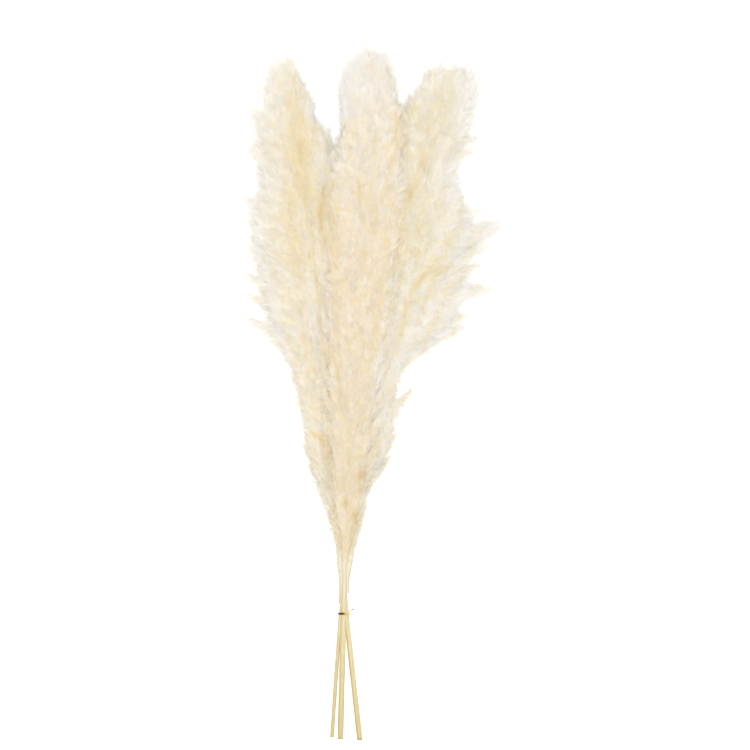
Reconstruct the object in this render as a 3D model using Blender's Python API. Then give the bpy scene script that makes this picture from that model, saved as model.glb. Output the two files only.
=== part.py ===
"""A bunch of three bleached reed plumes, lying on a surface and tied with a thin wire.

Metres, +Z up. The bunch lies along Y on the surface z = 0, with its cut ends towards -Y and its
plumes towards +Y, so it is looked at from above. Each reed is one stem, which goes on thinner
inside its plume, and a plume of four whorls of branches and a tip. Heights above the cut ends
("along") are measured in +Y from the cut end of the longest stem.

Every cross-section of a plume is star-shaped about its stem. How far it reaches in a direction
is set by the plume's own half-widths, by the planes halfway to the other two plumes, and by the
surface below. The whorls share that space: a whorl's branches lie outside the next whorl's.
"""

import math

import bmesh
import bpy

# The whole bunch
MIDDLE_ACROSS = 0.0280
MIDDLE_ALONG = 0.3765
STATION_STEP = 0.026
DIRECTIONS = 12
PLUME_GAP = 0.0020
BRANCH_GAP = 0.0014
WHORL_GAP = 0.0029
CLEARANCE = 0.0004

# Stems: the heights of their rings below the plume, closest where the stems cross
TIE_ALONG = 0.1375
STEM_RINGS = (0.045, 0.090, 0.120, TIE_ALONG, 0.150, 0.162, 0.175, 0.190)
STEM_SIDES = 8
AXIS_TIP_RADIUS = 0.0009
SHARP_ANGLE = math.radians(50)

# Plumes: rings stand on a grid of STATION_STEP, and keep STATION_MARGIN of a step to both ends
PLUME_BASE = 0.208
STATION_MARGIN = 0.3
BRANCHES_PER_WHORL = 4
WHORL_BASES = tuple(PLUME_BASE + STATION_STEP * steps for steps in (0, 3, 6, 9))
WHORL_TURNS = (0, 1, 2, 0)
WHORL_FLARES = (0.026, 0.027, 0.014, 0.006)
TIP_BASE = PLUME_BASE + STATION_STEP * 13
TIP_FULL_SHARE = 0.8
TWIG_DEPTH = 0.0010
LEAST_DEPTH = 0.0006
COVERED_SHARE = 0.86
FLARE_START = 0.62
INNER_FLARE = 0.9
TAPER_START = 0.50
TAPER_POWER = 1.6
POINT_WIDTH = 0.16
POINT_LIFT = 0.5
DEPTH_BELOW = 1.35

# The wire tie: WIRE_END is the free end's route from the end of the last turn
WIRE_RADIUS = 0.0004
WIRE_PITCH = 0.0011
WIRE_TURNS = 2
WIRE_STEPS_PER_TURN = 20
WIRE_LAST_ANGLE = math.radians(60)
WIRE_END = ((0.0014, 0.0010, -0.0002), (0.0046, 0.0024, 0.0001), (0.0093, 0.0045, 0.0008))

# Each reed: its stem's line as (along, across, height), its radius at the cut, at the tie and
# where the plume starts, how far its branches flare, and the plume's half-widths as
# (along, towards -X, towards +X, up), all in metres.
REEDS = {
    "left": {
        "line": (
            (0.000, 0.0170, 0.0029),
            (0.138, 0.0021, 0.0098),
            (0.162, 0.0002, 0.0106),
            (0.213, -0.0039, 0.0150),
            (0.315, -0.0120, 0.0270),
            (0.423, -0.0250, 0.0330),
            (0.531, -0.0400, 0.0345),
            (0.639, -0.0540, 0.0325),
            (0.742, -0.0605, 0.0290),
        ),
        "radii": (0.0029, 0.0029, 0.0023),
        "whorl_tips": (0.456, 0.512, 0.592, 0.644),
        "flare_side": math.pi,
        "flare": 1.0,
        "half_widths": (
            (0.208, 0.0062, 0.0062, 0.0060),
            (0.283, 0.0240, 0.0170, 0.0150),
            (0.369, 0.0300, 0.0250, 0.0220),
            (0.445, 0.0500, 0.0350, 0.0280),
            (0.500, 0.0570, 0.0380, 0.0300),
            (0.564, 0.0560, 0.0390, 0.0300),
            (0.640, 0.0460, 0.0340, 0.0270),
            (0.693, 0.0310, 0.0260, 0.0210),
            (0.725, 0.0170, 0.0130, 0.0120),
            (0.742, 0.0020, 0.0020, 0.0020),
        ),
    },
    "middle": {
        "line": (
            (0.001, -0.0041, 0.0030),
            (0.138, -0.0006, 0.0186),
            (0.162, 0.0002, 0.0220),
            (0.213, 0.0012, 0.0285),
            (0.315, 0.0065, 0.0380),
            (0.423, 0.0140, 0.0435),
            (0.531, 0.0216, 0.0435),
            (0.639, 0.0260, 0.0390),
            (0.753, 0.0260, 0.0330),
        ),
        "radii": (0.0030, 0.0030, 0.0023),
        "whorl_tips": (0.440, 0.522, 0.600, 0.676),
        "flare_side": math.pi / 2,
        "flare": 0.25,
        "half_widths": (
            (0.208, 0.0060, 0.0060, 0.0060),
            (0.283, 0.0160, 0.0160, 0.0160),
            (0.369, 0.0240, 0.0240, 0.0240),
            (0.450, 0.0320, 0.0320, 0.0300),
            (0.560, 0.0340, 0.0340, 0.0320),
            (0.660, 0.0320, 0.0320, 0.0290),
            (0.707, 0.0300, 0.0300, 0.0240),
            (0.732, 0.0220, 0.0240, 0.0170),
            (0.753, 0.0020, 0.0030, 0.0020),
        ),
    },
    "right": {
        "line": (
            (0.003, -0.0133, 0.0020),
            (0.138, -0.0036, 0.0138),
            (0.162, 0.0003, 0.0162),
            (0.213, 0.0065, 0.0205),
            (0.315, 0.0248, 0.0290),
            (0.423, 0.0486, 0.0345),
            (0.531, 0.0734, 0.0355),
            (0.639, 0.0970, 0.0325),
            (0.732, 0.1165, 0.0290),
        ),
        "radii": (0.0020, 0.0020, 0.0018),
        "whorl_tips": (0.484, 0.558, 0.624, 0.684),
        "flare_side": 0.0,
        "flare": 1.25,
        "half_widths": (
            (0.208, 0.0055, 0.0080, 0.0060),
            (0.279, 0.0150, 0.0160, 0.0150),
            (0.330, 0.0200, 0.0280, 0.0200),
            (0.408, 0.0290, 0.0340, 0.0250),
            (0.445, 0.0340, 0.0560, 0.0290),
            (0.499, 0.0360, 0.0680, 0.0310),
            (0.555, 0.0400, 0.0670, 0.0310),
            (0.596, 0.0420, 0.0460, 0.0290),
            (0.654, 0.0420, 0.0390, 0.0260),
            (0.706, 0.0300, 0.0320, 0.0200),
            (0.722, 0.0200, 0.0230, 0.0140),
            (0.732, 0.0060, 0.0080, 0.0050),
        ),
    },
}

STRAW = (0.80, 0.70, 0.44)
PLUME_CREAMS = {
    "left": (0.88, 0.79, 0.60),
    "middle": (0.91, 0.84, 0.68),
    "right": (0.88, 0.82, 0.64),
}
WIRE_GOLD = (0.45, 0.29, 0.10)
STRAW_ROUGHNESS = 0.6
PLUME_ROUGHNESS = 0.9
WIRE_ROUGHNESS = 0.35


def smooth(knots, along, column):
    """The column's value at a place along a smooth curve through the knots."""
    places = [knot[0] for knot in knots]
    values = [knot[column] for knot in knots]
    if along <= places[0]:
        return values[0]
    if along >= places[-1]:
        return values[-1]
    i = max(k for k in range(len(places) - 1) if places[k] <= along)

    def slope(k):
        before, after = max(k - 1, 0), min(k + 1, len(places) - 1)
        return (values[after] - values[before]) / (places[after] - places[before])

    step = places[i + 1] - places[i]
    t = (along - places[i]) / step
    return (
        (2 * t**3 - 3 * t**2 + 1) * values[i]
        + (t**3 - 2 * t**2 + t) * step * slope(i)
        + (3 * t**2 - 2 * t**3) * values[i + 1]
        + (t**3 - t**2) * step * slope(i + 1)
    )


def centre(reed, along):
    """The stem's centre there, as (across, height)."""
    line = REEDS[reed]["line"]
    return smooth(line, along, 1), smooth(line, along, 2)


def stem_radius(reed, along):
    """The stem is even up to the tie, then thins, most of all inside the plume."""
    at_cut, at_tie, at_plume = REEDS[reed]["radii"]
    knots = (
        (0.0, at_cut),
        (TIE_ALONG, at_tie),
        (PLUME_BASE, at_plume),
        (TIP_BASE, AXIS_TIP_RADIUS),
    )
    i = max(k for k in range(len(knots) - 1) if knots[k][0] <= along)
    (start, before), (end, after) = knots[i], knots[i + 1]
    return before + (after - before) * min(1.0, (along - start) / (end - start))


def reach(reed, along, angle):
    """How far the whole plume reaches from its stem, in a direction turned from +X to +Z."""
    widths = REEDS[reed]["half_widths"]
    x, z = centre(reed, along)
    aside, upward = math.cos(angle), math.sin(angle)
    half_width = smooth(widths, along, 2 if aside > 0 else 1)
    half_height = smooth(widths, along, 3) * (1.0 if upward > 0 else DEPTH_BELOW)
    far = 1.0 / math.hypot(aside / half_width, upward / half_height)
    for other in REEDS:
        if other == reed:
            continue
        other_x, other_z = centre(other, along)
        apart = (other_x - x) * aside + (other_z - z) * upward
        if apart > 0:
            halfway = ((other_x - x) ** 2 + (other_z - z) ** 2) / 2
            between = math.hypot(other_x - x, other_z - z)
            far = min(far, (halfway - between * PLUME_GAP / 2) / apart)
    if upward < 0:
        far = min(far, z / -upward)
    return far


def whorl_share(reed, whorl, along):
    """How far along its own length a whorl is at this height, from 0 to 1."""
    base, tip = WHORL_BASES[whorl], REEDS[reed]["whorl_tips"][whorl]
    return (along - base) / (tip - base)


def growth(share, along, uncovered, tip):
    """The share of the plume's reach that a whorl or the tip takes up: it opens like a bud, but
    stays inside the whorl before it until that one ends at the height uncovered."""
    opened = 1 - (1 - min(1.0, max(0.0, share))) ** 2
    bare = max(0.0, (along - uncovered) / (tip - uncovered))
    return min(opened, COVERED_SHARE + (1 - COVERED_SHARE) * bare)


def core_reach(reed, along):
    """The clear space round the stem that every branch leaves."""
    return stem_radius(reed, along) + CLEARANCE


def whorl_reach(reed, whorl, along, angle):
    """How far a whorl reaches: the first fills the plume from its base, the others grow into it."""
    far = reach(reed, along, angle)
    start = core_reach(reed, along) + TWIG_DEPTH
    if whorl == 0:
        return max(far, start)
    tips = REEDS[reed]["whorl_tips"]
    share = whorl_share(reed, whorl, along)
    grown = growth(share, along, tips[whorl - 1], tips[whorl])
    return start + (max(far, start) - start) * grown


def whorl_inside(reed, whorl, along, angle):
    """Where a whorl's branches begin: outside the next whorl, the tip or the bare stem."""
    if whorl + 1 < len(WHORL_BASES):
        if along >= WHORL_BASES[whorl + 1]:
            return whorl_reach(reed, whorl + 1, along, angle) + WHORL_GAP
    elif along >= TIP_BASE:
        return tip_reach(reed, along, angle) + WHORL_GAP
    return core_reach(reed, along)


def tip_reach(reed, along, angle):
    """The tip starts as thin as a twig, and is the whole plume above the last whorl."""
    end = REEDS[reed]["half_widths"][-1][0]
    share = (along - TIP_BASE) / (TIP_FULL_SHARE * (end - TIP_BASE))
    start = AXIS_TIP_RADIUS + TWIG_DEPTH
    grown = growth(share, along, REEDS[reed]["whorl_tips"][-1], end - STATION_STEP)
    return start + (reach(reed, along, angle) - start) * min(1.0, grown)


def stations(start, end):
    """Heights from start to end: both ends, and the whole steps of the shared grid between."""
    first = math.ceil((start - PLUME_BASE) / STATION_STEP + STATION_MARGIN)
    last = math.floor((end - PLUME_BASE) / STATION_STEP - STATION_MARGIN)
    between = [PLUME_BASE + STATION_STEP * k for k in range(first, last + 1)]
    return [start, *between, end]


def place(across, along, height):
    """A point of the bunch, moved so that the origin is under the middle of its outline."""
    return (across - MIDDLE_ACROSS, along - MIDDLE_ALONG, max(height, 0.0))


def loft(name, rings, colour, roughness):
    """One closed body through rings of equally many points, which run from +X towards +Z, with
    a flat face at each end."""
    mesh = bmesh.new()
    rows = [[mesh.verts.new(point) for point in ring] for ring in rings]
    for before, after in zip(rows, rows[1:]):
        for k in range(len(before)):
            j = (k + 1) % len(before)
            mesh.faces.new((before[j], before[k], after[k]))
            mesh.faces.new((before[j], after[k], after[j]))
    mesh.faces.new(rows[0])
    mesh.faces.new(rows[-1][::-1])
    data = bpy.data.meshes.new(name)
    mesh.to_mesh(data)
    mesh.free()
    return add_object(name, data, colour, roughness)


def add_object(name, data, colour, roughness, metallic=0.0):
    """Links a mesh or curve as a named object with its own material."""
    material = bpy.data.materials.new(name)
    material.use_nodes = True
    shader = material.node_tree.nodes["Principled BSDF"]
    shader.inputs["Base Color"].default_value = (*colour, 1.0)
    shader.inputs["Roughness"].default_value = roughness
    shader.inputs["Metallic"].default_value = metallic
    data.materials.append(material)
    thing = bpy.data.objects.new(name, data)
    bpy.context.scene.collection.objects.link(thing)
    return thing


def make_stem(reed):
    """The bare stem and its thin end inside the plume, as rings square to Y."""
    start = REEDS[reed]["line"][0][0]
    heights = [start, *STEM_RINGS, *stations(PLUME_BASE, TIP_BASE - CLEARANCE)[::2]]
    rings = []
    for along in heights:
        x, z = centre(reed, along)
        radius = stem_radius(reed, along)
        ring = []
        for k in range(STEM_SIDES):
            turn = math.tau * (k + 0.5) / STEM_SIDES
            ring.append(
                place(x + radius * math.cos(turn), along, z + radius * math.sin(turn))
            )
        rings.append(ring)
    stem = loft(f"{reed}_stem", rings, STRAW, STRAW_ROUGHNESS)
    stem.data.shade_smooth()
    stem.data.set_sharp_from_angle(angle=SHARP_ANGLE)


def branch_flare(reed, whorl, along, angle):
    """How far a branch bends out of the plume near its point, most on the plume's free side."""
    share = whorl_share(reed, whorl, along)
    if share <= FLARE_START:
        return 0.0
    facing = max(0.0, math.cos(angle - REEDS[reed]["flare_side"])) ** 2
    bend = ((share - FLARE_START) / (1 - FLARE_START)) ** 2
    return WHORL_FLARES[whorl] * REEDS[reed]["flare"] * facing * bend


def branch_ring(reed, whorl, branch, along):
    """A branch's outline at one height: its outer arc and, back again, its inner arc."""
    per_branch = DIRECTIONS // BRANCHES_PER_WHORL
    middle = math.tau * (branch / BRANCHES_PER_WHORL + WHORL_TURNS[whorl] / DIRECTIONS)
    share = whorl_share(reed, whorl, along)
    narrowed = max(0.0, (share - TAPER_START) / (1 - TAPER_START))
    width = 1 - (1 - POINT_WIDTH) * narrowed**TAPER_POWER
    x, z = centre(reed, along)
    outer, inner = [], []
    for k in range(per_branch + 1):
        offset = (k / per_branch - 0.5) * math.tau / BRANCHES_PER_WHORL
        angle = middle + offset * width
        inset = BRANCH_GAP / 2 * (-1 if k == per_branch else 1 if k == 0 else 0)
        flare = branch_flare(reed, whorl, along, angle)
        near = whorl_inside(reed, whorl, along, angle)
        far = max(whorl_reach(reed, whorl, along, angle), near + LEAST_DEPTH)
        near += flare * INNER_FLARE + POINT_LIFT * (far - near) * narrowed
        far += flare
        for distance, arc in ((far, outer), (near, inner)):
            arc.append(
                place(
                    x + distance * math.cos(angle) - inset * math.sin(angle),
                    along,
                    z + distance * math.sin(angle) + inset * math.cos(angle),
                )
            )
    return outer + inner[::-1]


def make_branch(reed, whorl, branch):
    tip = REEDS[reed]["whorl_tips"][whorl]
    rings = [
        branch_ring(reed, whorl, branch, along)
        for along in stations(WHORL_BASES[whorl], tip)
    ]
    name = f"{reed}_branch_{whorl + 1}_{'abcd'[branch]}"
    loft(name, rings, PLUME_CREAMS[reed], PLUME_ROUGHNESS)


def make_tip(reed):
    """The top of the plume, round its stem's thin end."""
    end = REEDS[reed]["half_widths"][-1][0]
    heights = stations(TIP_BASE, end - STATION_STEP / 2) + [end]
    rings = []
    for along in heights:
        x, z = centre(reed, along)
        ring = []
        for k in range(DIRECTIONS):
            angle = math.tau * (k + 0.5) / DIRECTIONS
            distance = tip_reach(reed, along, angle)
            ring.append(
                place(x + distance * math.cos(angle), along, z + distance * math.sin(angle))
            )
        rings.append(ring)
    loft(f"{reed}_tip", rings, PLUME_CREAMS[reed], PLUME_ROUGHNESS)


def round_stems(angle):
    """The point (across, height) of a loop drawn tight round the three stems at the tie."""
    out = (math.cos(angle), math.sin(angle))
    best = None
    for reed in REEDS:
        x, z = centre(reed, TIE_ALONG)
        clear = stem_radius(reed, TIE_ALONG) + WIRE_RADIUS + CLEARANCE
        support = x * out[0] + z * out[1] + clear
        if best is None or support > best[0]:
            best = (support, x + clear * out[0], z + clear * out[1])
    return best[1], best[2]


def make_tie():
    """Two turns of wire over the top from left to right, and a short end that sticks out."""
    steps = WIRE_TURNS * WIRE_STEPS_PER_TURN
    points = []
    for k in range(steps + 1):
        turn = (k - steps) / WIRE_STEPS_PER_TURN
        across, height = round_stems(WIRE_LAST_ANGLE - math.tau * turn)
        points.append((across, TIE_ALONG + WIRE_PITCH * (turn + WIRE_TURNS / 2), height))
    last = points[-1]
    points += [tuple(a + b for a, b in zip(last, bend)) for bend in WIRE_END]
    curve = bpy.data.curves.new("tie_wire", "CURVE")
    curve.dimensions = "3D"
    curve.bevel_depth = WIRE_RADIUS
    curve.bevel_resolution = 1
    curve.use_fill_caps = True
    spline = curve.splines.new("POLY")
    spline.points.add(len(points) - 1)
    for point, target in zip(spline.points, points):
        point.co = (*place(*target), 1.0)
    add_object("tie_wire", curve, WIRE_GOLD, WIRE_ROUGHNESS, metallic=1.0)


def main():
    for thing in list(bpy.data.objects):
        bpy.data.objects.remove(thing)
    for reed in REEDS:
        make_stem(reed)
        for whorl in range(len(WHORL_BASES)):
            for branch in range(BRANCHES_PER_WHORL):
                make_branch(reed, whorl, branch)
        make_tip(reed)
    make_tie()


main()
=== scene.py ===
"""The looks of a bunch of three bleached reed plumes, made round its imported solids.

Metres, +Z up. The bunch lies along Y on z = 0 and is seen from above. A place in it is written
(across, along, height): across to the right, along from the cut ends to the tips, height above
the surface. MIDDLE is the place of the frame's origin, under the middle of the outline. The
tables from REEDS to PALE_STRANDS, and SHEATHS, are in millimetres, and metres() turns them.

Each branch solid is replaced by the twigs that it stands for and by its part of a soft core round
the stem. A twig carries spikelets, which are small husks with fine hairs. The core carries tufts
of hair. Locks are close groups of twigs that stick out of the outline or lie over a seam.
"""

import math

import bpy
import numpy as np
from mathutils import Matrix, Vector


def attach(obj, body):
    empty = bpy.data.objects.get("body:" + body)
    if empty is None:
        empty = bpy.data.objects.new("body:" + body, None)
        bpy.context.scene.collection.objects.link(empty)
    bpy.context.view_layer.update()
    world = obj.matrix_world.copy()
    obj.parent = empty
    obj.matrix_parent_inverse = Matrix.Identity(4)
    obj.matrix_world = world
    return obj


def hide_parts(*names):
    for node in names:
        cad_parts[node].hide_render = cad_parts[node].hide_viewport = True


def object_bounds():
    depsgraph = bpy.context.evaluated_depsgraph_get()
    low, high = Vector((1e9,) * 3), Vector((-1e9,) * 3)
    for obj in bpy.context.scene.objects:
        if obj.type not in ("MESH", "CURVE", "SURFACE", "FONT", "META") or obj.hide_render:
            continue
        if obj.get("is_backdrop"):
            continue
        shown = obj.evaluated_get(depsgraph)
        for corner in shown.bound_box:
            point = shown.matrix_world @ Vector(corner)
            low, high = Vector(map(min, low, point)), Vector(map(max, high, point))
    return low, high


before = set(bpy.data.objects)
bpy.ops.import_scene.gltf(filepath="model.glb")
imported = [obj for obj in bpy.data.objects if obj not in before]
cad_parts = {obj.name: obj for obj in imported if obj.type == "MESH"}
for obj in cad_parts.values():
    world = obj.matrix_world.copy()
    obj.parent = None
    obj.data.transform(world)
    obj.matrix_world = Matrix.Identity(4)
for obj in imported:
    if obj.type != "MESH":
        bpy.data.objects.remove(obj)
CAD_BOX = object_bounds()

SEED = 20
MIDDLE = np.array((0.0280, 0.3765, 0.0))
TIE_ALONG = 0.1375
PLUME_BASE = 0.208
TIP_BASE = 0.546
WHORLS = 4
BRANCHES_PER_WHORL = 4
WHORL_TURNS = (0, 1, 2, 0)
TURN_STEP = math.tau / 12
DEPTH_BELOW = 1.35
SIDE = np.array((1.0, 0.0, 1.0))
ROUND = 2.0
SQUARE = 4.0
TINY = 1e-6
LEAST_LENGTH = 1e-12
LEAST_APART = 1e-4
WAY_STEP = 0.004


def metres(length):
    """A length, or a nested tuple of lengths, turned from millimetres into metres."""
    if isinstance(length, tuple):
        return tuple(metres(part) for part in length)
    return round(length / 1000, 7)


def metres_first(rows, count):
    """Rows whose first few columns are turned into metres."""
    return tuple(metres(row[:count]) + row[count:] for row in rows)


def soft_lines(rows):
    """Rows of (width, strength, places on the line), in metres."""
    return tuple((metres(wide), strength, metres(places)) for wide, strength, places in rows)


# In millimetres. joined: how far along a plume's left and right sides lie against a neighbour;
# line: the stem's centre as (along, across, height); radii: at the cut, the tie and the plume's
# base; whorl_tips: how far along each whorl's branches reach; half_widths: (along, to -X, to +X,
# upwards); free_tips: (across, along, height, lean from +Y in degrees, number of twigs) of the
# locks. The twigs flare to the flare_side, which is an angle from +X to +Z.
REEDS = {
    "left": {
        "joined": (0, 650),
        "line": (
            (0, 17, 2.9), (138, 2.1, 9.8), (162, 0.2, 10.6), (213, -3.9, 15), (315, -12, 27),
            (423, -25, 33), (531, -40, 34.5), (639, -54, 32.5), (742, -60.5, 29),
        ),
        "radii": (2.9, 2.9, 2.3),
        "whorl_tips": (456, 512, 592, 644),
        "flare_side": math.pi,
        "flare": 0.55,
        "half_widths": (
            (208, 5, 6.2, 6), (242, 8.5, 10.5, 9), (272, 20, 15.5, 13.5), (305, 29, 26, 17.5),
            (369, 31.5, 32, 22), (412, 39, 38, 25.5), (445, 49, 42, 28), (500, 57, 45, 30),
            (560, 54.5, 48, 30), (610, 41.5, 48, 29), (640, 40, 42, 27), (655, 37.5, 34.5, 25.5),
            (672, 33, 26, 23.5), (693, 29, 23.5, 21), (710, 27, 14.5, 16.5), (726, 21.5, 8, 12),
            (738, 12.5, 6, 8),
        ),
        "free_tips": (
            (-60, 741, 30, 0, 6), (-69, 737, 30, 10, 6), (-80, 730, 30, 20, 6),
            (-88, 712, 32, 25, 6), (-102, 685, 42, 40, 9), (-96, 664, 38, 35, 5),
            (-107, 645, 44, 62, 8), (-111.5, 594, 42, 48, 6), (-105, 570, 34, 50, 5),
            (-109, 540, 44, 58, 6), (-111, 508, 42, 65, 5), (-103, 484, 36, 55, 5),
            (-108, 459, 42, 62, 6), (-112, 434, 38, 96, 1), (-16.5, 662, 44, 12, 6),
            (-9, 645, 48, 6, 5), (-20, 600, 52, -10, 4), (-17, 560, 54, -8, 4),
            (-14, 520, 54, -6, 4), (-12, 480, 54, -5, 4), (-10, 440, 52, -4, 4),
        ),
    },
    "middle": {
        "joined": (650, 705),
        "line": (
            (1, -4.1, 3), (138, -0.6, 18.6), (162, 0.2, 22), (213, 1.2, 28.5), (315, 6.5, 38),
            (423, 14, 43.5), (531, 21.6, 43.5), (639, 26, 39), (753, 26, 33),
        ),
        "radii": (3, 3, 2.3),
        "whorl_tips": (440, 522, 600, 676),
        "flare_side": math.pi / 2,
        "flare": 0.1,
        "half_widths": (
            (208, 6, 6, 6), (283, 20, 20, 16), (369, 30, 30, 24), (450, 40, 40, 30),
            (560, 43, 43, 32), (620, 40, 43, 30), (660, 29, 40, 29), (690, 31, 33, 26),
            (707, 30, 29, 24), (728, 23.5, 22.5, 18), (738, 12, 20, 14), (746, 6, 12, 10),
        ),
        "free_tips": (
            (0, 724, 36, -25, 5), (-4, 700, 38, -30, 5), (56, 716, 36, 25, 5),
            (45, 745, 34, 12, 6), (25.5, 754, 34, 0, 6), (35, 752, 34, 5, 6),
            (12, 742, 34, -15, 6), (50.5, 736, 34, 15, 6), (-8, 585, 56, -12, 4),
            (-9, 545, 58, -10, 4), (-8, 500, 58, -8, 4), (52, 640, 52, 12, 4),
            (48, 600, 56, 10, 4), (44, 560, 58, 9, 4), (40, 520, 58, 8, 4), (34, 480, 58, 7, 4),
            (-24.7, 470, 63.5, -12, 5), (-23.6, 440, 61.5, -12, 5), (-22.6, 410, 59, -12, 5),
            (-21.5, 380, 55, -12, 5), (-20.5, 350, 51.5, -10, 5), (-19.4, 320, 47, -10, 5),
            (48.8, 440, 63.5, 14, 5), (44.9, 410, 60, 14, 5), (41, 380, 57, 13, 5),
            (37, 350, 53.5, 12, 5), (33, 320, 49, 12, 5),
        ),
    },
    "right": {
        "joined": (705, 0),
        "line": (
            (3, -13.3, 2), (138, -3.6, 13.8), (162, 0.3, 16.2), (213, 6.5, 20.5), (315, 24.8, 29),
            (423, 48.6, 34.5), (531, 73.4, 35.5), (639, 97, 32.5), (732, 116.5, 29),
        ),
        "radii": (2, 2, 1.8),
        "whorl_tips": (484, 558, 624, 684),
        "flare_side": 0.0,
        "flare": 0.8,
        "half_widths": (
            (208, 5.5, 8, 6), (279, 15, 13, 15), (322, 26, 26.5, 19.5), (365, 31, 19, 22.5),
            (408, 37, 21.5, 25), (424, 39, 31, 26.5), (447, 42, 59, 29), (475, 43.5, 64, 30),
            (499, 45, 62, 31), (525, 47.5, 59, 31), (555, 50, 61, 31), (596, 51, 35, 29),
            (630, 50, 27, 27.5), (660, 47, 33.5, 25.5), (706, 31, 35, 20), (722, 24, 24, 14),
            (730, 12, 13, 8),
        ),
        "free_tips": (
            (92, 728, 32, -5, 6), (105, 736, 32, 0, 6), (118, 734, 32, 8, 6),
            (130, 734, 32, 15, 6), (139, 731, 32, 25, 6), (145.5, 704, 34, 45, 5),
            (148.5, 653, 44, 82, 6), (142, 640, 40, 75, 6), (150, 575, 44, 76, 7),
            (174.5, 560, 44, 80, 13), (169, 552, 42, 82, 11), (158, 538, 42, 68, 8),
            (150, 520, 36, 60, 5), (166.5, 486, 44, 100, 9), (144, 494, 38, 85, 6),
            (134, 449, 40, 74, 7), (133, 461, 38, 76, 7), (98, 434, 38, 80, 5),
            (72, 380, 30, 40, 4), (55.5, 331, 26, 40, 3), (49, 308, 24, 35, 3),
            (56, 665, 44, -20, 4), (60, 690, 48, -25, 4), (64, 675, 44, -25, 4),
        ),
    },
}
for shape in REEDS.values():
    for key in ("joined", "line", "radii", "whorl_tips", "half_widths"):
        shape[key] = metres(shape[key])
    shape["free_tips"] = metres_first(shape["free_tips"], 3)

# Warmer places on the plumes, partly golden patches of the hair and partly painted shade along the
# seams and on the left plume's side towards the middle: (across, along, size across, size along,
# strength)
WARM_PLACES_AND_PAINTED_SHADE = metres_first((
    (-54, 718, 6, 16, 0.4), (-51, 690, 10, 20, 0.55), (-45, 640, 9, 30, 0.7),
    (-42.5, 600, 7, 24, 0.6), (-43, 540, 7, 30, 0.28), (-25.5, 570, 2.8, 16, 1),
    (-20, 542, 1.8, 12, 0.8), (-25, 329, 5, 5, 0.9), (57, 658, 2.2, 17, 0.8),
    (50, 600, 2.6, 30, 0.3), (44, 530, 2.2, 30, 0.45), (39, 477, 2.2, 30, 0.6),
    (85.3, 624, 2.8, 7, 1), (81, 608, 4.5, 8, 0.55), (71.3, 591, 3, 10, 0.9),
    (100, 583, 2, 10, 0.4), (83.2, 551, 4.5, 4, 0.8), (87, 504, 5, 3, 1), (12, 350, 10, 40, 0.4),
    (18.4, 289, 6, 6, 0.95), (10, 306, 8, 7, 0.5), (2.2, 257, 6, 5, 0.9), (13, 243, 4.5, 9, 1),
    (-11.9, 251, 3.5, 4, 0.8), (-18.4, 280, 4, 4, 0.8), (22, 247, 3, 4, 0.65),
    (0, 215, 3.2, 14, 0.65), (-46, 380, 10, 26, 0.38), (-34, 320, 8, 40, 0.42),
    (52, 370, 6, 26, 0.3), (-85, 660, 14, 45, 0.22), (115, 642, 16, 18, 0.22),
), 4)
# Paler places, in the same form: partly pale patches of the hair and partly painted light that lifts
# the shade in gaps and seams between plumes
PALE_PLACES_AND_PAINTED_LIGHT = metres_first((
    (24, 705, 30, 30, 0.6), (130, 556, 20, 16, 0.7), (65, 430, 16, 22, 0.7),
    (85, 470, 20, 14, 0.7), (80, 720, 30, 22, 0.6), (-15, 640, 12, 30, 0.6),
    (-40, 470, 12, 40, 0.6), (39, 388, 7.5, 21, 0.9), (56, 700, 9, 18, 0.8), (56, 600, 6, 20, 0.6),
    (81, 440, 15, 18, 0.9),
), 4)
# Lines of painted golden shade, as in creases and along seams, and pale strands that sweep over the
# plumes: (width, strength, places on the line)
PAINTED_CREASE_SHADE = soft_lines((
    (2.4, 0.8, (
        (59.4, 434), (64.8, 458), (70.2, 480), (79.9, 496), (90.7, 505.5), (103.7, 511),
        (115, 513),
    )),
    (2.2, 0.7, ((79, 476), (101.5, 486), (114, 492.5))),
    (2, 0.6, ((78, 428), (90.7, 445), (97, 456))),
    (1.8, 0.65, ((51, 500), (57.5, 525), (60, 550), (66, 575))),
    (1.3, 0.9, ((-15.1, 432), (-11.9, 417), (-6.5, 402), (-4.3, 376), (-2.2, 358))),
    (2.2, 0.9, ((-36, 334), (-25.9, 328), (-19.4, 317.5), (-17.3, 306.7))),
    (1.8, 1, ((-22.5, 600), (-23.2, 580), (-24.5, 562), (-24, 545))),
    (1.3, 0.9, ((-22.7, 579), (-15.1, 564), (-9.2, 552))),
    (1.4, 0.8, ((16.5, 609), (16, 593), (16.5, 578))),
    (1.4, 0.75, ((56.6, 646), (49.7, 623), (43.5, 585))),
    (1.4, 0.65, ((-17, 545), (-11.9, 526), (-10, 512))),
))
PALE_STRANDS = soft_lines((
    (1.8, 0.8, ((47.5, 410), (55, 452), (62.5, 478), (72, 499), (85, 515))),
    (3, 0.6, ((64, 440), (74, 462), (88, 474), (108, 479))),
    (1.6, 0.6, ((40, 440), (47, 480), (51, 520), (53, 570))),
    (2, 0.6, ((23, 270), (29, 310), (37, 350), (44, 385))),
))
# The plumes grow warmer towards their neck.
LOW_WARMTH = 0.33
LOW_WARMTH_TOP = 0.40
LOW_WARMTH_FADE = 0.15
# Two numbers, here and where straight() is used, are a straight line's height at 0 and its slope.
PLACES_BY_CLUMP = (1.5, -1.2)
CREASE_SHADE_BY_CLUMP = (1.2, -0.4)

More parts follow.
